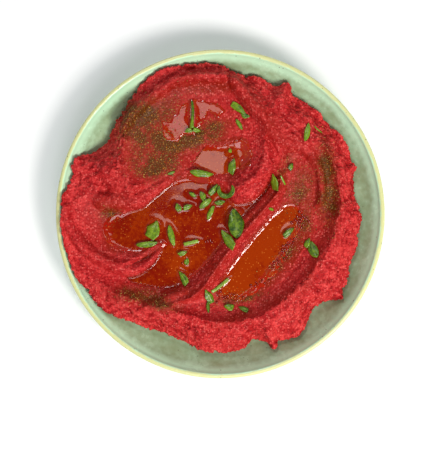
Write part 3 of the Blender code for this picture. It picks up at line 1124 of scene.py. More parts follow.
@dataclass(frozen=True)
class OilFinish:
    """Olive oil over the paste: deep orange-red where it is deep, the paste's red at its edge."""

    shallow: Colour = (0.34, 0.010, 0.004)
    brown: Colour = (0.19, 0.006, 0.0010)
    orange: Colour = (0.29, 0.026, 0.0008)
    sediment: Colour = (0.60, 0.16, 0.02)
    roughness: float = 0.07
    ior: float = 1.47

    def build(self, effects: Effects, name: str) -> Material:
        """Makes the material.

        Args:
            effects: The shared node groups.
            name: The material's name.

        Returns:
            The material.
        """
        material, graph, shader = start_material(name)
        depth = graph.attribute("depth")
        drift = graph.noise(graph.place, 55.0, 1.5)
        cloud = effects.cloud(graph, scale=420.0, fine=4.0)
        stirred = graph.plus(drift, graph.times(cloud, 0.30))
        warmer = graph.times(graph.minus(graph.attribute("warm"), 0.5), 0.4)
        stirred = graph.plus(stirred, warmer)
        colour = graph.mix(graph.ramp(stirred, 0.46, 0.80), self.brown, self.orange)
        reach = graph.plus(depth, graph.times(cloud, 0.5))
        colour = graph.mix(graph.ramp(reach, 0.1, 1.1), self.shallow, colour)
        grains = effects.dots(graph, scale=900.0, share=0.26, size=0.40)
        settled = graph.times(grains["Mask"], graph.times(grains["Pick"], 0.75))
        colour = graph.mix(settled, colour, self.sediment)
        graph.wire(colour, shader.inputs["Base Color"])
        shader.inputs["Roughness"].default_value = self.roughness
        shader.inputs["IOR"].default_value = self.ior
        return material


@dataclass(frozen=True)
class GlazeFinish:
    """Sage stoneware glaze with iron specks, which thins to a paler, yellower edge; the pale blue-green
    band inside the lip is pooled glaze and a painted highlight.
    """

    section: PlateSection
    sage: Colour = (0.38, 0.57, 0.36)
    shade: Colour = (0.26, 0.37, 0.20)
    pooled_highlight_glaze: Colour = (0.60, 0.93, 0.64)
    rim: Colour = (0.62, 0.63, 0.29)
    speck: Colour = (0.13, 0.15, 0.10)
    clay: Colour = (0.52, 0.40, 0.27)
    roughness: float = 0.20
    clay_roughness: float = 0.55
    rim_depth: float = 3.4

    def build(self, effects: Effects) -> Material:
        """Makes the material.

        Args:
            effects: The shared node groups.

        Returns:
            The material.
        """
        material, graph, shader = start_material("sage_glaze")
        parts = graph.add("SeparateXYZ")
        graph.wire(graph.place, parts.inputs[0])
        square = graph.math("POWER", parts.outputs["X"], 2.0)
        radius = graph.math("SQRT", graph.plus(square, graph.math("POWER", parts.outputs["Y"], 2.0)))
        cloud = effects.cloud(graph, scale=45.0, fine=6.0)
        colour = graph.mix(cloud, self.shade, self.sage)
        section = self.section
        drift = graph.times(graph.minus(cloud, 0.5), 0.8 * MM)
        here = graph.plus(radius, drift)
        wall_end = section.wall_end * MM
        # Pale band inside the lip: glaze pooled there, brightened as a painted highlight along the curve of
        # the wall.
        pooled = graph.ramp(here, wall_end - 5 * MM, wall_end - 1 * MM)
        colour = graph.mix(graph.times(pooled, 0.75), colour, self.pooled_highlight_glaze)
        thinned = graph.ramp(here, wall_end + 0.3 * MM, wall_end + 1.3 * MM)
        top = section.height
        lip = graph.ramp(parts.outputs["Z"], (top - self.rim_depth) * MM, (top - section.lip) * MM)
        colour = graph.mix(graph.times(thinned, lip), colour, self.rim)
        specks = effects.dots(graph, scale=420.0, share=0.10, size=0.20)
        colour = graph.mix(graph.times(specks["Mask"], 0.75), colour, self.speck)
        bare = graph.minus(1.0, graph.ramp(parts.outputs["Z"], 0.9 * MM, 1.4 * MM))
        graph.wire(graph.mix(bare, colour, self.clay), shader.inputs["Base Color"])
        rough = graph.plus(graph.times(cloud, 0.10), self.roughness)
        graph.wire(graph.plus(rough, graph.times(bare, self.clay_roughness)), shader.inputs["Roughness"])
        wavy = effects.cloud(graph, scale=120.0, fine=5.0)
        graph.wire(graph.bump(wavy, 0.10, 0.5), shader.inputs["Normal"])
        return material


@dataclass(frozen=True)
class MintFinish:
    """Fresh mint: each leaf has its own tone, veins and midrib."""

    dark: Colour = (0.012, 0.055, 0.001)
    bright: Colour = (0.17, 0.29, 0.005)
    vein: Colour = (0.30, 0.44, 0.04)
    roughness: float = 0.34

    def build(self, effects: Effects) -> Material:
        """Makes the material.

        Args:
            effects: The shared node groups.

        Returns:
            The material.
        """
        material, graph, shader = start_material("mint")
        cloud = effects.cloud(graph, scale=500.0, fine=4.0)
        tone = graph.attribute("tone")
        shift = graph.times(graph.minus(cloud, 0.5), 0.9)
        colour = graph.mix(graph.plus(tone, shift, clamp=True), self.dark, self.bright)
        vein = graph.attribute("vein")
        colour = graph.mix(graph.times(vein, 0.35), colour, self.vein)
        graph.wire(colour, shader.inputs["Base Color"])
        shader.inputs["Roughness"].default_value = self.roughness
        cells = graph.times(cloud, 0.4)
        height = graph.minus(cells, vein)
        graph.wire(graph.bump(height, 0.5, 0.15), shader.inputs["Normal"])
        return material


@dataclass(frozen=True)
class SpiceFinish:
    """Ground spice: grains from golden to dark brown."""

    dark: Colour = (0.055, 0.030, 0.006)
    pale: Colour = (0.52, 0.30, 0.06)
    roughness: float = 0.6

    def build(self, effects: Effects) -> Material:
        """Makes the material.

        Args:
            effects: The shared node groups.

        Returns:
            The material.
        """
        material, graph, shader = start_material("ground_spice")
        tone = graph.attribute("tone")
        cloud = effects.cloud(graph, scale=2500.0, fine=3.0)
        share = graph.plus(tone, graph.times(cloud, 0.2), clamp=True)
        graph.wire(graph.mix(share, self.dark, self.pale), shader.inputs["Base Color"])
        shader.inputs["Roughness"].default_value = self.roughness
        graph.wire(graph.bump(cloud, 0.4, 0.05), shader.inputs["Normal"])
        return material


# ================================================================ the pieces
@dataclass
class Plate:
    """The stoneware plate, thrown on a wheel."""

    section: PlateSection
    material: Material
    steps: int = 288
    inside_steps: int = 22
    lip_steps: int = 10
    unevenness: float = 0.10

    # Rows of radius and height in mm, from under the lip to the foot.
    OUTSIDE = (
        (100, 22.9), (99.6, 19.5), (98.4, 15.5), (95.4, 10.4), (91, 7), (85, 4.6), (76, 3.3), (66, 2.8),
    )

    def profile(self) -> list[Row]:
        """The half section as radius and height in mm, from the inside's centre to the foot's.

        Returns:
            Rows of radius and height in mm.
        """
        section = self.section
        inside = [(0.0, section.floor), (35.0, section.floor), (60.0, section.floor)]
        for radius in np.linspace(section.flat_radius, section.wall_end, self.inside_steps):
            inside.append((float(radius), float(section.inside(radius))))
        lip = []
        for turn in range(1, self.lip_steps + 1):
            angle = math.pi * (1 - turn / self.lip_steps)
            across = section.radius - section.lip + section.lip * math.cos(angle)
            lip.append((across, section.height - section.lip + section.lip * math.sin(angle)))
        outside = [tuple(row) for row in curve_through(self.OUTSIDE, 3)[1:]]
        half_foot = ((0.8, section.foot_height), (0.2, 0.5), (-0.4, 0.0))
        foot = [(section.foot_outer + out, height) for out, height in half_foot]
        foot += [(section.foot_inner - out, height) for out, height in reversed(half_foot)]
        return inside + lip + outside + foot + [(0.0, section.foot_height)]

    def build(self) -> Piece:
        """Turns the profile and makes its walls slightly uneven.

        Returns:
            The piece.
        """
        bm = bmesh.new()
        section = [bm.verts.new((radius * MM, 0, height * MM)) for radius, height in self.profile()]
        edges = [bm.edges.new(pair) for pair in zip(section, section[1:])]
        whole_turn = {"cent": (0, 0, 0), "axis": (0, 0, 1), "angle": 2 * math.pi, "use_merge": True}
        bmesh.ops.spin(bm, geom=section + edges, steps=self.steps, **whole_turn)
        bmesh.ops.remove_doubles(bm, verts=bm.verts, dist=0.005 * MM)
        bmesh.ops.recalc_face_normals(bm, faces=bm.faces)
        piece = finish_mesh(bm, "stoneware_plate", self.material)
        places = vertex_places(piece.data)
        radius = np.hypot(places[:, 0], places[:, 1])
        wobble = noise_over(places, 38.0, 21, 2) * self.unevenness
        free = smooth_step(62.0, 80.0, radius) * (1 - smooth_step(96.0, 98.0, radius))
        places[:, 2] += wobble * free
        set_vertex_places(piece.data, places)
        declare(piece, "glaze", "plate")
        return piece


@dataclass
class HummusMound:
    """The hummus: the worked surface with lumps, streaks and grain, a torn edge and a plain underside."""

    surface: WorkedSurface
    material: Material
    cells: int = 296
    gap: float = 0.35
    lump: float = 1.5
    grain: float = 0.20
    ragged: float = 0.9
    widest: float = 96.4
    highest: float = 28.9

    # Rings from the rim to the underside: shares of the outline's radius and of the edge's thickness.
    EDGE_RINGS = ((1.006, 0.72), (1.006, 0.40), (0.996, 0.12), (0.97, 0.0), (0.90, 0.0), (0.80, 0.0))

    def resting_height(self, radius: Values) -> Values:
        """Height of what rests on the plate, with the gap measured square to the slope.

        Args:
            radius: Distance from the middle of the plate, in mm.

        Returns:
            Heights in mm.
        """
        plate = self.surface.plate
        slope = plate.inside(radius + 0.5) - plate.inside(radius - 0.5)
        return plate.inside(radius) + self.gap * np.sqrt(1 + slope**2)

    def torn_outline(self, angle: Values) -> Values:
        """The outline with its small lumps and tears.

        Args:
            angle: Directions from the middle of the plate, in radians.

        Returns:
            Radii in mm.
        """
        radius = self.surface.outline(angle)
        places = flat_places(90 * np.cos(angle), 90 * np.sin(angle))
        lumps = 1 - 2 * np.abs(noise_over(places, 5.5, 31, 3))
        tears = noise_over(places, 2.1, 32, 2)
        return np.minimum(radius + self.ragged * (lumps - 0.6 + 0.35 * tears), self.widest)

    def lay_sheet(self) -> Shape:
        """A sheet over the footprint, closed by the edge and underside.

        Returns:
            The closed shape, in metres.
        """
        bm = bmesh.new()
        bmesh.ops.create_grid(bm, x_segments=self.cells, y_segments=self.cells, size=1)
        flat = np.array([vert.co[:2] for vert in bm.verts])
        disc_u = flat[:, 0] * np.sqrt(1 - flat[:, 1] ** 2 / 2)
        disc_v = flat[:, 1] * np.sqrt(1 - flat[:, 0] ** 2 / 2)
        reach = self.torn_outline(np.arctan2(disc_v, disc_u))
        x, y = disc_u * reach, disc_v * reach
        height, _ = self.surface.worked(x, y)
        put_vertices(bm.verts, x, y, height)
        for scale, share in self.EDGE_RINGS:
            rim = [edge for edge in bm.edges if edge.is_boundary]
            grown = bmesh.ops.extrude_edge_only(bm, edges=rim)["geom"]
            ring = [item for item in grown if isinstance(item, bmesh.types.BMVert)]
            angle = np.array([math.atan2(vert.co.y, vert.co.x) for vert in ring])
            radius = self.torn_outline(angle) * scale
            level = self.resting_height(radius) + self.surface.EDGE_THICKNESS * share
            put_vertices(ring, radius * np.cos(angle), radius * np.sin(angle), level)
        bmesh.ops.holes_fill(bm, edges=[edge for edge in bm.edges if edge.is_boundary], sides=0)
        bmesh.ops.recalc_face_normals(bm, faces=bm.faces)
        return bm

    def relief(self, places: Values, rough: Values, under_oil: Values) -> Values:
        """How far each point stands out from the smooth surface, in mm.

        Args:
            places: Rows of x, y and z in mm.
            rough: Roughness from 0 to 1.
            under_oil: 1 where oil covers it.

        Returns:
            One distance for each row.
        """
        x, y = places[:, 0], places[:, 1]
        angle, radius = np.arctan2(y, x), np.hypot(x, y)
        clods = 1 - 2 * np.abs(noise_over(places, 5.8, 40, 2))
        lumps = 1 - 2 * np.abs(noise_over(places, 3.0, 41, 2))
        crumbs = 1 - 2 * np.abs(noise_over(places, 1.6, 42, 1))
        combed = np.stack([radius / 2.2, angle * 9.0, places[:, 2] / 4], axis=1)
        drag = noise_over(combed, 1.0, 43, 3)
        torn = 0.46 * (clods - 0.55) + 0.34 * (lumps - 0.55) + 0.16 * (crumbs - 0.5) + 0.34 * drag
        fine = self.grain * (noise_over(places, 1.35, 44, 1) + 0.7 * noise_over(places, 2.7, 45, 2))
        streaked = self.surface.streaks(x, y) * (1 - rough)
        calm = 1 - 0.8 * under_oil
        return (self.lump * torn * (0.06 + 0.94 * rough) + fine + streaked) * calm

    def build(self) -> Piece:
        """Models the sheet, displaces it and stores what its material reads.

        Returns:
            The piece.
        """
        piece = finish_mesh(self.lay_sheet(), "beetroot_hummus", self.material)
        mesh = piece.data
        places, normals = vertex_places(mesh), vertex_normals(mesh)
        x, y = places[:, 0], places[:, 1]
        height, rough = self.surface.worked(x, y)
        radius = np.hypot(x, y)
        above = places[:, 2] - self.resting_height(radius)
        on_top = places[:, 2] > height - 0.5
        rough = np.where(on_top, rough, 1.0)
        free = smooth_step(0.3, 2.5, above)
        under_oil = np.zeros_like(x)
        for shape in POOLS.values():
            inside = shape.contains(x, y) * (1 - smooth_step(shape.level - 0.4, shape.level + 1.6, height))
            under_oil = np.maximum(under_oil, inside)
        under_oil = np.maximum(under_oil, smooth_step(-1.5, 0.5, OilFilms.depth(x, y)))
        moved = self.relief(places, rough, under_oil) * free
        places = places + normals * moved[:, None]
        lowest = self.resting_height(np.hypot(places[:, 0], places[:, 1]))
        places[:, 2] = np.clip(places[:, 2], lowest, self.highest)
        set_vertex_places(mesh, places)
        # Oil soak and painted shade, read by the material.
        set_point_values(mesh, "oily", self.surface.oil_soak_and_shade(x, y, height))
        # How far each point stands out, read by the material for painted shade in creases and painted light
        # on crumbs.
        set_point_values(mesh, "relief_shading", np.clip(0.5 + moved / (0.6 + 1.5 * rough), 0, 1))
        set_point_values(mesh, "spice", self.surface.spice(x, y) * on_top)
        declare(piece, "hummus", "hummus")
        return piece


@dataclass
class OilPool:
    """One level pool of oil that climbs its banks in a thin meniscus."""

    pool: Pool
    surface: WorkedSurface
    material: Material
    cell: float = 0.42
    skin: float = 0.25
    reach: float = 0.5
    meniscus: float = 1.6
    dive: float = 1.9
    skirt: float = 1.1
    depth: float = 0.8
    climbs: tuple[float, float] = (0.3, 1.9)

    def steepness(self, x: Values, y: Values) -> Values:
        """How steep the ground is, as rise over run across a millimetre or two.

        Args:
            x: Where to work it out, in mm.
            y: The same.

        Returns:
            One slope for each point.
        """
        step = 0.8
        east = self.surface.worked(x + step, y)[0] - self.surface.worked(x - step, y)[0]
        north = self.surface.worked(x, y + step)[0] - self.surface.worked(x, y - step)[0]
        return np.hypot(east, north) / (2 * step)

    def top(self, x: Values, y: Values, ground: Values) -> Values:
        """Height of the oil: level, raised at the banks and beside what lies in it.

        Args:
            x: Where to work it out, in mm.
            y: The same.
            ground: The hummus's height there, in mm.

        Returns:
            Heights in mm, which dive under the hummus beyond the shore.
        """
        shape = POOLS[self.pool]
        places = flat_places(x, y)
        creep = self.skin + 0.35 * noise_over(places, 6.5, 52, 1) + 0.22 * noise_over(places, 2.4, 53, 1)
        beyond = np.clip(ground - shape.level - self.reach, 0, None)
        bank = ground + creep - self.dive * beyond
        level = shape.level + 0.03 * noise_over(places, 9.0, 51, 1)
        for leaf in (*MINT_LEAVES, *MINT_BITS):
            level = level + leaf.pull(x, y)
        climb = np.clip(self.meniscus * self.steepness(x, y) ** 2, *self.climbs)
        return smooth_upper(level, bank, climb)

    def build(self) -> Piece:
        """Cuts a fine sheet to the pool, lifts it to its level and closes it below.

        Returns:
            The piece.
        """
        shape = POOLS[self.pool]
        bm, x, y = lay_grid(np.array(shape.banks, float), 0.0, self.cell)
        ground, _ = self.surface.worked(x, y)
        top = self.top(x, y, ground)
        wet = (top > ground - self.skirt) & shape.contains(x, y)
        put_vertices(bm.verts, x, y, top)
        delete_vertices(bm, ~wet)
        self.keep_largest(bm)
        close_on_level(bm, shape.level - self.depth)
        piece = finish_mesh(bm, self.pool.value.replace("oil", "olive_oil"), self.material)
        places = vertex_places(piece.data)
        ground, _ = self.surface.worked(places[:, 0], places[:, 1])
        set_point_values(piece.data, "depth", np.clip(places[:, 2] - ground, 0, None))
        set_point_values(piece.data, "warm", shape.warmth)
        declare(piece, "oil", self.pool.value)
        return piece

    @staticmethod
    def keep_largest(bm: Shape) -> None:
        """Deletes all but the largest connected sheet.

        Args:
            bm: The bmesh; it is changed.
        """
        left = set(bm.verts)
        sheets = []
        while left:
            stack = [left.pop()]
            sheet = list(stack)
            while stack:
                vert = stack.pop()
                for edge in vert.link_edges:
                    other = edge.other_vert(vert)
                    if other in left:
                        left.remove(other)
                        sheet.append(other)
                        stack.append(other)
            sheets.append(sheet)
        sheets.sort(key=len)
        loose = [vert for sheet in sheets[:-1] for vert in sheet]
        bmesh.ops.delete(bm, geom=loose, context="VERTS")


@dataclass
class OilFilms:
    """Thin films that oil left on the floor of the north scoop."""

    surface: WorkedSurface
    material: Material
    cell: float = 0.42
    thickness: float = 0.34
    level: float = 18.8
    deepest: float = 0.7
    roll: float = 1.5
    margin: float = 3.0
    solid: float = 0.4
    sunk: float = 0.05

    @staticmethod
    def depth(x: Values, y: Values) -> Values:
        """How deep points lie inside the films' wandering outlines, in mm.

        Args:
            x: Where to work it out, in mm.
            y: The same.

        Returns:
            Depths in mm, below 0 outside the films.
        """
        places = flat_places(x, y)
        wander = 1.3 * noise_over(places, 4.5, 55, 2)
        depths = [depth_inside(outline, x, y) for outline in OIL_FILMS]
        return np.maximum.reduce(depths) + wander

    def build(self) -> Piece:
        """Lays a fine sheet over the films' outlines, with rolled edges, and closes it below.

        Returns:
            The piece.
        """
        corners = np.array([corner for outline in OIL_FILMS for corner in outline], float)
        bm, x, y = lay_grid(corners, self.margin, self.cell)
        ground, _ = self.surface.worked(x, y)
        deep = self.depth(x, y)
        share = np.clip(deep / self.roll, -1, 1)
        pooled = np.clip(self.level - ground, 0, self.deepest)
        places = flat_places(x, y)
        sway = 0.20 * noise_over(places, 8.0, 56, 1) + 0.06 * noise_over(places, 3.0, 57, 1)
        top = ground + (self.thickness + pooled) * np.sin(0.5 * np.pi * share) - self.sunk
        top = top + sway * np.clip(share, 0, 1)
        for leaf in (*MINT_LEAVES, *MINT_BITS, MINT_STALK):
            top = top + leaf.pull(x, y)
        put_vertices(bm.verts, x, y, top)
        delete_vertices(bm, deep < -0.7 * self.roll)
        close_at_depth(bm, self.solid)
        piece = finish_mesh(bm, "olive_oil_films", self.material)
        set_point_values(piece.data, "depth", 0.3)
        set_point_values(piece.data, "warm", 0.4)
        declare(piece, "oil")
        return piece


class Ground:
    """What leaves and grains lie on: the hummus and the oil."""

    def __init__(self, pieces: Iterable[Piece]) -> None:
        """Reads the finished pieces.

        Args:
            pieces: The pieces that things can lie on.
        """
        self.trees = []
        for piece in pieces:
            corners = [vert.co for vert in piece.data.vertices]
            faces = [face.vertices for face in piece.data.polygons]
            self.trees.append(BVHTree.FromPolygons(corners, faces))

    def height(self, x: float, y: float) -> float:
        """The height in mm of the highest surface at a point in mm.

        Args:
            x: Where to work it out, in mm.
            y: The same.

        Returns:
            The height, or 0 where nothing lies.
        """
        start = Vector((x, y, 60.0)) * MM
        hits = [tree.ray_cast(start, Vector((0, 0, -1)))[0] for tree in self.trees]
        return max((hit.z / MM for hit in hits if hit is not None), default=0.0)


class LeafForm(Enum):
    """How a piece of mint was cut."""

    WHOLE = "whole leaf"
    CUT = "leaf cut across at one end"
    STRIP = "narrow strip"
    STEM = "bit of stem"


@dataclass(frozen=True)
class Leaf:
    """A piece of mint: centre, length, width and heading in mm and degrees, and its tone from 0 to 1."""

    x: float
    y: float
    length: float
    width: float
    heading: float
    form: LeafForm = LeafForm.WHOLE
    arch: float = 0.8
    tone: float = 0.6
    bend: float = 0.0
    lift: float = 0.0

    PULL = 0.60
    PULL_REACH = 1.6
    CURLED = 60.0

    def centre_line(self, along: Values) -> tuple[Values, Values, Values]:
        """Follows the piece's centre line, an arc that turns by bend to each side of its middle.

        Args:
            along: Way in mm from the middle.

        Returns:
            x and y in mm, and the heading there in radians.
        """
        heading = math.radians(self.heading)
        curl = math.radians(self.bend if self.bend else 0.01) * 2 / self.length
        turn = heading + curl * along
        x = self.x + (np.sin(turn) - math.sin(heading)) / curl
        y = self.y - (np.cos(turn) - math.cos(heading)) / curl
        return x, y, turn

    def pull(self, x: Values, y: Values) -> Values:
        """How far it pulls up the oil around it, in mm.

        Args:
            x: Where to work it out, in mm.
            y: The same.

        Returns:
            Heights in mm.
        """
        turn = math.radians(self.heading)
        half_length, half_width = 0.5 * self.length, 0.5 * self.width
        along = (x - self.x) * math.cos(turn) + (y - self.y) * math.sin(turn)
        across = (y - self.y) * math.cos(turn) - (x - self.x) * math.sin(turn)
        ring = np.sqrt((along / half_length) ** 2 + (across / half_width) ** 2)
        away = np.hypot(along, across) * np.clip(1 - 1 / np.maximum(ring, 0.01), 0, None)
        return self.PULL * np.exp(-((away / self.PULL_REACH) ** 1.3)) * (abs(self.bend) < self.CURLED)


MINT_LEAVES: tuple[Leaf, ...] = (
    Leaf(9.5, -5.5, 18.0, 9.5, 97, LeafForm.WHOLE, 1.4, 0.22, 6),
    Leaf(4.3, -15.2, 13.0, 5.4, 126, LeafForm.CUT, 0.9, 0.7, -5),
    Leaf(-40.8, -9.5, 11.5, 8.4, 66, LeafForm.CUT, 0.9, 0.75, 8),
    Leaf(-30.2, -13.2, 13.0, 3.6, 104, LeafForm.STRIP, 0.6, 0.7, -6),
    Leaf(-45.0, -18.6, 13.0, 3.4, 6, LeafForm.STRIP, 0.6, 0.6, 8),
    Leaf(3.4, 10.8, 18.5, 3.0, 0, LeafForm.STRIP, 0.5, 0.3, 122, 0.3),
    Leaf(7.3, 29.5, 9.5, 4.4, 76, LeafForm.CUT, 0.8, 0.5, 0),
    Leaf(-11.5, 24.6, 14.5, 4.2, -8, LeafForm.WHOLE, 0.6, 0.7, 10),
    Leaf(11.5, 64.5, 11.0, 4.0, -38, LeafForm.CUT, 0.8, 0.65, -10),
    Leaf(33.0, 19.6, 10.5, 3.8, 98, LeafForm.CUT, 0.8, 0.95, 8),
    Leaf(52.7, 49.6, 11.5, 3.2, 78, LeafForm.WHOLE, 0.6, 0.85, 6),
    Leaf(-7.3, -50.2, 9.5, 4.6, 116, LeafForm.CUT, 0.8, 0.45, 0),
    Leaf(56.6, -21.6, 10.0, 5.6, 108, LeafForm.WHOLE, 1.0, 0.4, -18),
    Leaf(-22.6, -39.0, 9.0, 4.2, 122, LeafForm.CUT, 0.7, 0.45, 10),
    Leaf(-9.2, 6.6, 9.0, 3.6, 38, LeafForm.STRIP, 0.7, 0.6, 0),
)

MINT_BITS: tuple[Leaf, ...] = (
    Leaf(-30, 25, 5, 1.6, 20, LeafForm.STRIP, 0.3, 0.6),
    Leaf(-11, 11.5, 5.5, 3.4, 120, LeafForm.CUT, 0.5, 0.6),
    Leaf(-4, 15, 8, 3.6, 52, LeafForm.CUT, 0.7, 0.35, 12),
    Leaf(-6, 1, 9.5, 2.8, 66, LeafForm.STRIP, 0.6, 0.75, -8),
    Leaf(0, 7, 6, 3.0, 15, LeafForm.CUT, 0.5, 0.4),
    Leaf(-26, 4.2, 5, 3.6, 110, LeafForm.CUT, 0.4, 0.5),
    Leaf(-20, 4.4, 5.5, 3.2, 20, LeafForm.CUT, 0.4, 0.6),
    Leaf(15.5, 60, 5, 3.2, -10, LeafForm.CUT, 0.5, 0.35),
    Leaf(11.5, 55, 7.5, 2.2, -60, LeafForm.STRIP, 0.5, 0.5),
    Leaf(43, 29, 4.6, 3, 60, LeafForm.CUT, 0.4, 0.2),
    Leaf(31, 3, 3.4, 1.6, -20, LeafForm.STRIP, 0.3, 0.6),
    Leaf(6, 39, 2.4, 2, 90, LeafForm.CUT, 0.2, 1.0),
    Leaf(-18, -17.5, 9, 2.0, 14, LeafForm.STEM, 0.3, 0.95),
    Leaf(-23, -24, 5.5, 2.8, 20, LeafForm.CUT, 0.4, 0.5),
    Leaf(-20.5, -29, 4, 3.0, 70, LeafForm.CUT, 0.3, 0.5),
    Leaf(0, -44, 13, 1.8, 38, LeafForm.STEM, 0.4, 0.9, 6),
    Leaf(-7.6, -57, 7, 1.8, 96, LeafForm.STRIP, 0.4, 0.25),
    Leaf(42, -11, 8, 3.4, 40, LeafForm.CUT, 0.5, 0.3),
    Leaf(53.5, -17.5, 6, 3.0, 62, LeafForm.CUT, 0.6, 0.55),
    Leaf(6, -57, 5, 4.6, 20, LeafForm.CUT, 0.5, 0.55),
    Leaf(14, -58, 6, 2.8, 160, LeafForm.CUT, 0.4, 0.4),
    Leaf(38, 20.5, 6, 0.9, -62, LeafForm.STEM, 0.3, 0.9),
    Leaf(59.5, 51.5, 6, 0.5, -38, LeafForm.STEM, 0.3, 1.0, 10),
    Leaf(-17, 12, 5, 2.2, -30, LeafForm.STRIP, 0.4, 0.45),
)

# Where the stalk lies, for the oil around it.
MINT_STALK = Leaf(-17.2, 60.5, 17.0, 3.4, 92, LeafForm.STEM)


@dataclass
class Mint:
    """Chopped mint: the large pieces that stand for CAD nodes, a stalk, and a scatter of bits."""

    ground: Ground
    material: Material
    thickness: float = 0.32
    rest: float = 0.12

    STALK_ENDS = ((-17.3, 69.0), (-17.0, 52.5))
    STALK_RISE = 1.0
    STALK_STEPS = 14
    STALK_FEET = (
        Leaf(-19.6, 51.0, 4.6, 2.6, 195, LeafForm.CUT, 0.6, 0.7, 0, 0.5),
        Leaf(-14.4, 51.2, 4.6, 2.6, -12, LeafForm.CUT, 0.6, 0.8, 0, 0.5),
    )

    @staticmethod
    def half_width(form: LeafForm, share: Values) -> Values:
        """Half width along a piece, as a share of its greatest.

        Args:
            form: How the piece was cut.
            share: Way along it, from 0 to 1.

        Returns:
            Shares from 0 to 1.
        """
        if form is LeafForm.WHOLE:
            return 0.04 + 0.96 * np.sin(np.pi * share**0.85) ** 0.8
        if form is LeafForm.CUT:
            taper = np.clip((1 - share) * 1.9, 0, 1) ** 0.75
            return (0.62 + 0.38 * np.sin(2.6 * share + 0.3)) * (0.05 + 0.95 * taper)
        if form is LeafForm.STRIP:
            return 0.08 + 0.92 * np.sin(np.pi * share) ** 0.6
        return np.full_like(share, 1.0)

    def add_blade(self, bm: Shape, leaf: Leaf, number: int) -> None:
        """Adds one blade to a bmesh, with its tone and vein values.

        Args:
            bm: The mesh to add to.
            leaf: The piece of mint.
            number: Sets its own small unevenness.
        """
        long_cells = max(6, round(leaf.length * 1.6))
        wide_cells = 8 if leaf.width > 2.5 else 4
        before = set(bm.verts)
        bmesh.ops.create_grid(bm, x_segments=long_cells, y_segments=wide_cells, size=0.5)
        verts = [vert for vert in bm.verts if vert not in before]
        tone_layer = bm.verts.layers.float["tone"]
        vein_layer = bm.verts.layers.float["vein"]
        flat = np.array([vert.co[:2] for vert in verts])
        share, across = flat[:, 0] + 0.5, flat[:, 1] * 2
        wave = noise_over(np.stack([share * 3, across, np.full_like(share, number)], axis=1), 1.0, 61, 2)
        half = 0.5 * leaf.width * self.half_width(leaf.form, share) * (1 + 0.14 * wave)
        slant = 0.55 * math.sin(2.1 * number) * (leaf.form is LeafForm.CUT)
        along = (share - 0.5) * leaf.length + slant * across * half * (1 - share)
        mid_x, mid_y, turn = leaf.centre_line(along)
        x = mid_x - across * half * np.sin(turn)
        y = mid_y + across * half * np.cos(turn)
        lying = np.array([self.ground.height(*spot) for spot in zip(x, y)])
        lying = self.stiffened(lying, share, across)
        cupped = leaf.arch * np.sin(np.pi * share) * (1 - across**2) + 0.4 * leaf.arch * wave
        tilt = 0.35 * half * (1 + across * math.sin(1.7 * number))
        crease = 0.25 * np.exp(-((across / 0.16) ** 2)) * (leaf.form is not LeafForm.STEM)
        height = lying + self.rest + np.clip(cupped, 0, None) + tilt - crease + leaf.lift
        side = np.abs(across)
        ribs = np.clip(np.cos((share * leaf.length / 1.7 - side * 0.9) * 2 * np.pi) * 3 - 2.1, 0, 1)
        vein = np.clip(np.exp(-((across / 0.13) ** 2)) + 0.5 * ribs * (side > 0.1), 0, 1)
        pale = 0.35 * np.clip(side - 0.7, 0, 1) + 0.25 * wave
        for vert, spot, value, lighter in zip(verts, np.stack([x, y, height], axis=1), vein, pale):
            vert.co = Vector(spot) * MM
            vert[tone_layer] = min(max(leaf.tone + lighter, 0.0), 1.0)
            vert[vein_layer] = value if leaf.form is not LeafForm.STEM else 0.4

    @staticmethod
    def stiffened(lying: Values, share: Values, across: Values) -> Values:
        """A height that bridges small dips: between the ground and the plane over it.

        Args:
            lying: The ground's height under each point, in mm.
            share: Way along the piece, from 0 to 1.
            across: Way across it, from -1 to 1.

        Returns:
            Heights in mm, nowhere below the ground.
        """
        sheet = np.stack([np.ones_like(share), share, across, share * across, share**2], axis=1)
        fitted = sheet @ np.linalg.lstsq(sheet, lying, rcond=None)[0]
        raised = fitted + max(0.0, float(np.percentile(lying - fitted, 92)))
        return np.maximum(raised, lying)

    def thicken(self, bm: Shape, name: str) -> Piece:
        """Gives the blades their thickness and makes them a piece.

        Args:
            bm: The blades, in metres; it is freed.
            name: The piece's name.

        Returns:
            The piece.
        """
        piece = finish_mesh(bm, name, self.material)
        solid = piece.modifiers.new("thickness", "SOLIDIFY")
        solid.thickness = self.thickness * MM
        solid.offset = 1
        return piece

    @staticmethod
    def start() -> Shape:
        """An empty bmesh with the layers that the material reads.

        Returns:
            The bmesh.
        """
        bm = bmesh.new()
        bm.verts.layers.float.new("tone")
        bm.verts.layers.float.new("vein")
        return bm

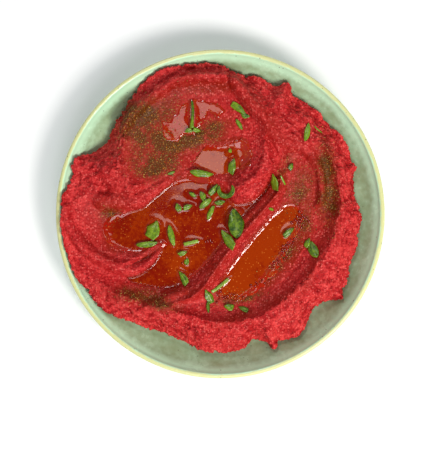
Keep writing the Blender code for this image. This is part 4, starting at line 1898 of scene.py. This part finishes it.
    def build_stalk(self) -> None:
        """The cut stalk in the north scoop, with the foot of a leaf pair at its lower end."""
        (x1, y1), (x2, y2) = self.STALK_ENDS
        bm = self.start()
        way = np.linspace(0, 1, self.STALK_STEPS)
        heights = [self.ground.height(x1 + (x2 - x1) * t, y1 + (y2 - y1) * t) for t in way]
        base = np.polyval(np.polyfit(way, heights, 2), way)
        bmesh.ops.create_circle(bm, cap_ends=True, segments=14, radius=0.75 * MM)
        face = next(iter(bm.faces))
        bm.transform(Matrix.Rotation(math.radians(90), 4, "X"))
        bmesh.ops.translate(bm, verts=bm.verts, vec=Vector((x1, y1, base[0] + self.STALK_RISE)) * MM)
        for step in range(1, self.STALK_STEPS):
            t = step / (self.STALK_STEPS - 1)
            sway = 0.35 * math.sin(5 * t)
            target = Vector((x1 + (x2 - x1) * t + sway, y1 + (y2 - y1) * t, base[step] + self.STALK_RISE))
            grown = bmesh.ops.extrude_face_region(bm, geom=[face])["geom"]
            old = face
            face = next(item for item in grown if isinstance(item, bmesh.types.BMFace))
            bmesh.ops.delete(bm, geom=[old], context="FACES_ONLY")
            bmesh.ops.translate(bm, verts=face.verts, vec=target * MM - face.calc_center_median())
            swell = 1.0 + 0.3 * smooth_step(0.75, 1.0, np.array(t))
            centre = face.calc_center_median()
            width = (0.8 + 0.25 * t) * float(swell)
            for vert in face.verts:
                vert.co = centre + (vert.co - centre).normalized() * width * MM
        bmesh.ops.recalc_face_normals(bm, faces=bm.faces)
        tone = bm.verts.layers.float["tone"]
        for vert in bm.verts:
            vert[tone] = 0.35 + 0.5 * (vert.co.y / MM < y2 + 4)
        piece = finish_mesh(bm, "mint_cut_stalk", self.material)
        declare(piece, "mint", "mint_stalk")

    def build(self) -> None:
        """Makes every piece of mint."""
        for number, leaf in enumerate(MINT_LEAVES, 1):
            bm = self.start()
            self.add_blade(bm, leaf, number)
            piece = self.thicken(bm, f"mint_piece_{number:02d}")
            declare(piece, "mint", f"mint_leaf_{number:02d}")
        self.build_stalk()
        bm = self.start()
        for number, leaf in enumerate(MINT_BITS, 40):
            self.add_blade(bm, leaf, number)
        for number, leaf in enumerate(self.STALK_FEET, 80):
            self.add_blade(bm, leaf, number)
        declare(self.thicken(bm, "mint_bits"), "mint")


@dataclass
class Scatter:
    """Small grains joined into one piece, dropped where a cover function says."""

    name: str
    ground: Ground
    material: Material
    cover: Callable[[Values, Values], Values]
    slot: str
    count: int = 3600
    sizes: tuple[float, float] = (0.22, 0.75)
    sunk: float = 0.25
    reach: float = 90.0
    tries: int = 14
    seed: int = 1

    def build(self) -> Piece:
        """Draws places by chance, keeps those that the cover allows, and sets a grain on each.

        Returns:
            The piece.
        """
        chance = np.random.default_rng(self.seed)
        drawn = self.count * self.tries
        angle = chance.uniform(0, 2 * math.pi, drawn)
        radius = self.reach * np.sqrt(chance.uniform(0, 1, drawn))
        x, y = radius * np.cos(angle), radius * np.sin(angle)
        kept = np.flatnonzero(chance.uniform(0, 1, len(x)) < self.cover(x, y))[: self.count]
        bm = bmesh.new()
        tone = bm.verts.layers.float.new("tone")
        small, large = self.sizes
        for index in kept:
            rest = self.ground.height(x[index], y[index])
            if not rest:
                continue
            size = small + (large - small) * chance.uniform() ** 2.2
            stretch = Vector(chance.uniform(0.6, 1.3, 3)) * size * 0.5 * MM
            lift = rest + size * (0.5 - self.sunk)
            place = Matrix.Translation(Vector((x[index], y[index], lift)) * MM)
            turn, axis = chance.uniform(0, math.pi), Vector(chance.normal(size=3)).normalized()
            spin = Matrix.Rotation(turn, 4, axis)
            shape = place @ spin @ Matrix.Diagonal((*stretch, 1))
            grain = bmesh.ops.create_icosphere(bm, subdivisions=1, radius=1, matrix=shape)["verts"]
            shade = float(np.clip(chance.normal(0.45, 0.3), 0, 1))
            for vert in grain:
                vert[tone] = shade
        piece = finish_mesh(bm, self.name, self.material)
        declare(piece, self.slot)
        return piece


# Where oil foamed, most of it at the east pool's shore.
FOAM_PATCHES: tuple[Patch, ...] = (
    Patch(49.5, -3.8, 4.2, 3.6, -30, 1.0),
    Patch(40.5, -21.5, 6.5, 2.2, 55, 1.0),
    Patch(33.5, -31, 4.0, 2.0, 50, 0.8),
    Patch(24, -42.5, 3.6, 1.6, 25, 0.8),
    Patch(6, -51, 6.0, 2.2, 0, 0.9),
    Patch(-1.5, -47, 2.2, 2.0, 40, 0.7),
    Patch(-22, -30.5, 1.8, 1.5, 0, 0.8),
    Patch(-7, -17, 2.4, 1.6, -30, 0.4),
)


@dataclass
class Foam:
    """Bubbles of oil, joined into one piece, that stand half out of what they float on."""

    ground: Ground
    material: Material
    count: int = 300
    radii: tuple[float, float] = (0.45, 1.15)
    seed: int = 5

    def build(self) -> Piece:
        """Sets bubbles in the foam's patches, none closer than they fit.

        Returns:
            The piece.
        """
        chance = np.random.default_rng(self.seed)
        bm = bmesh.new()
        placed: list[tuple[float, float, float]] = []
        areas = [patch.strength * patch.half_length * patch.half_width for patch in FOAM_PATCHES]
        weights = np.array(areas)
        for number in chance.choice(len(FOAM_PATCHES), self.count, p=weights / weights.sum()):
            patch = FOAM_PATCHES[number]
            along, across = chance.normal(0, 0.55, 2) * (patch.half_length, patch.half_width)
            turn = math.radians(patch.heading)
            x = patch.x + along * math.cos(turn) - across * math.sin(turn)
            y = patch.y + along * math.sin(turn) + across * math.cos(turn)
            radius = chance.uniform(*self.radii)
            if any(math.hypot(x - u, y - v) < 0.75 * (radius + r) for u, v, r in placed):
                continue
            placed.append((x, y, radius))
            centre = Vector((x, y, self.ground.height(x, y) - 0.1 * radius)) * MM
            squash = Matrix.Diagonal((1, 1, 0.85, 1))
            shape = Matrix.Translation(centre) @ squash
            bmesh.ops.create_icosphere(bm, subdivisions=2, radius=radius * MM, matrix=shape)
        piece = finish_mesh(bm, "oil_bubbles", self.material)
        set_point_values(piece.data, "depth", 2.0)
        declare(piece, "oil")
        return piece


# ================================================================ the studio
@dataclass(frozen=True)
class SoftLight:
    """A square area light, placed by its direction from the plate and its distance."""

    name: str
    azimuth: float
    elevation: float
    distance: float
    size: float
    power: float
    colour: Colour = (1.0, 1.0, 1.0)

    def build(self) -> None:
        """Adds the light, facing the plate."""
        data = bpy.data.lights.new(self.name, "AREA")
        data.shape = "SQUARE"
        data.size = self.size
        data.energy = self.power
        data.color = self.colour
        turn, rise = math.radians(self.azimuth), math.radians(self.elevation)
        out = Vector((math.cos(rise) * math.cos(turn), math.cos(rise) * math.sin(turn), math.sin(rise)))
        lamp = bpy.data.objects.new(self.name, data)
        lamp.location = out * self.distance
        lamp.rotation_euler = out.to_track_quat("Z", "Y").to_euler()
        bpy.context.scene.collection.objects.link(lamp)


@dataclass(frozen=True)
class Studio:
    """The pale floor, the soft lights and the camera straight above."""

    rim_height: float
    lights: tuple[SoftLight, ...] = (
        SoftLight("key", -47, 47, 0.95, 0.28, 7.4, (1.0, 0.97, 0.93)),
        SoftLight("window", -88, 52, 1.25, 0.55, 5.2, (0.97, 0.98, 1.0)),
        SoftLight("ceiling", 92, 80.1, 1.22, 0.27, 0.9, (1.0, 0.86, 0.78)),
        SoftLight("back_fill", 105, 42, 1.10, 0.30, 3.2, (0.93, 0.97, 1.0)),
    )
    camera_x: float = 0.0010
    camera_y: float = -0.0134
    camera_rise: float = 0.600
    frame_height: float = 0.2863
    glow: float = 0.36
    glow_overhead: float = 0.03

    def build(self) -> None:
        """Builds everything around the plate."""
        self.floor()
        for light in self.lights:
            light.build()
        world = bpy.data.worlds.new("studio")
        world.use_nodes = True
        graph = Graph(world.node_tree, "Generated")
        background = world.node_tree.nodes["Background"]
        background.inputs["Color"].default_value = (0.93, 0.96, 1.0, 1)
        parts = graph.add("SeparateXYZ")
        graph.wire(graph.place, parts.inputs[0])
        overhead = graph.ramp(parts.outputs["Z"], 0.78, 0.96)
        strength = graph.minus(self.glow, graph.times(overhead, self.glow - self.glow_overhead))
        graph.wire(strength, background.inputs["Strength"])
        bpy.context.scene.world = world
        bpy.context.scene.view_settings.view_transform = "Standard"
        self.camera()

    @staticmethod
    def floor() -> None:
        """A large pale floor."""
        bm = bmesh.new()
        bmesh.ops.create_grid(bm, x_segments=1, y_segments=1, size=3.0)
        material, _, shader = start_material("studio_floor")
        shader.inputs["Base Color"].default_value = (0.92, 0.92, 0.92, 1)
        shader.inputs["Roughness"].default_value = 0.9
        shader.inputs["Specular IOR Level"].default_value = 0.1
        finish_mesh(bm, "studio_floor", material)

    def camera(self) -> None:
        """A camera that looks straight down, a little off the plate's centre."""
        data = bpy.data.cameras.new("camera")
        data.sensor_width = 36.0
        data.lens = data.sensor_width * self.camera_rise / self.frame_height
        data.clip_start = 0.01
        camera = bpy.data.objects.new("camera", data)
        camera.location = (self.camera_x, self.camera_y, self.rim_height + self.camera_rise)
        bpy.context.scene.collection.objects.link(camera)
        bpy.context.scene.camera = camera


# ================================================================ the whole
def main() -> None:
    """Builds every piece in order, then the studio."""
    logging.basicConfig(level=logging.INFO, format="%(message)s")
    section = PlateSection()
    surface = WorkedSurface(section)
    effects = Effects()
    Plate(section, GlazeFinish(section).build(effects)).build()
    hummus = HummusMound(surface, HummusFinish().build(effects)).build()
    oil = OilFinish().build(effects, "olive_oil")
    pools = [OilPool(pool, surface, oil).build() for pool in Pool]
    films = OilFilms(surface, oil).build()
    ground = Ground([hummus, *pools, films])
    Mint(ground, MintFinish().build(effects)).build()
    spice = SpiceFinish().build(effects)
    Scatter("ground_spice", ground, spice, lambda x, y: 0.75 * surface.spice(x, y), "hummus").build()
    Foam(ground, oil).build()
    Studio(section.height * MM).build()


if __name__ == "__main__":
    main()
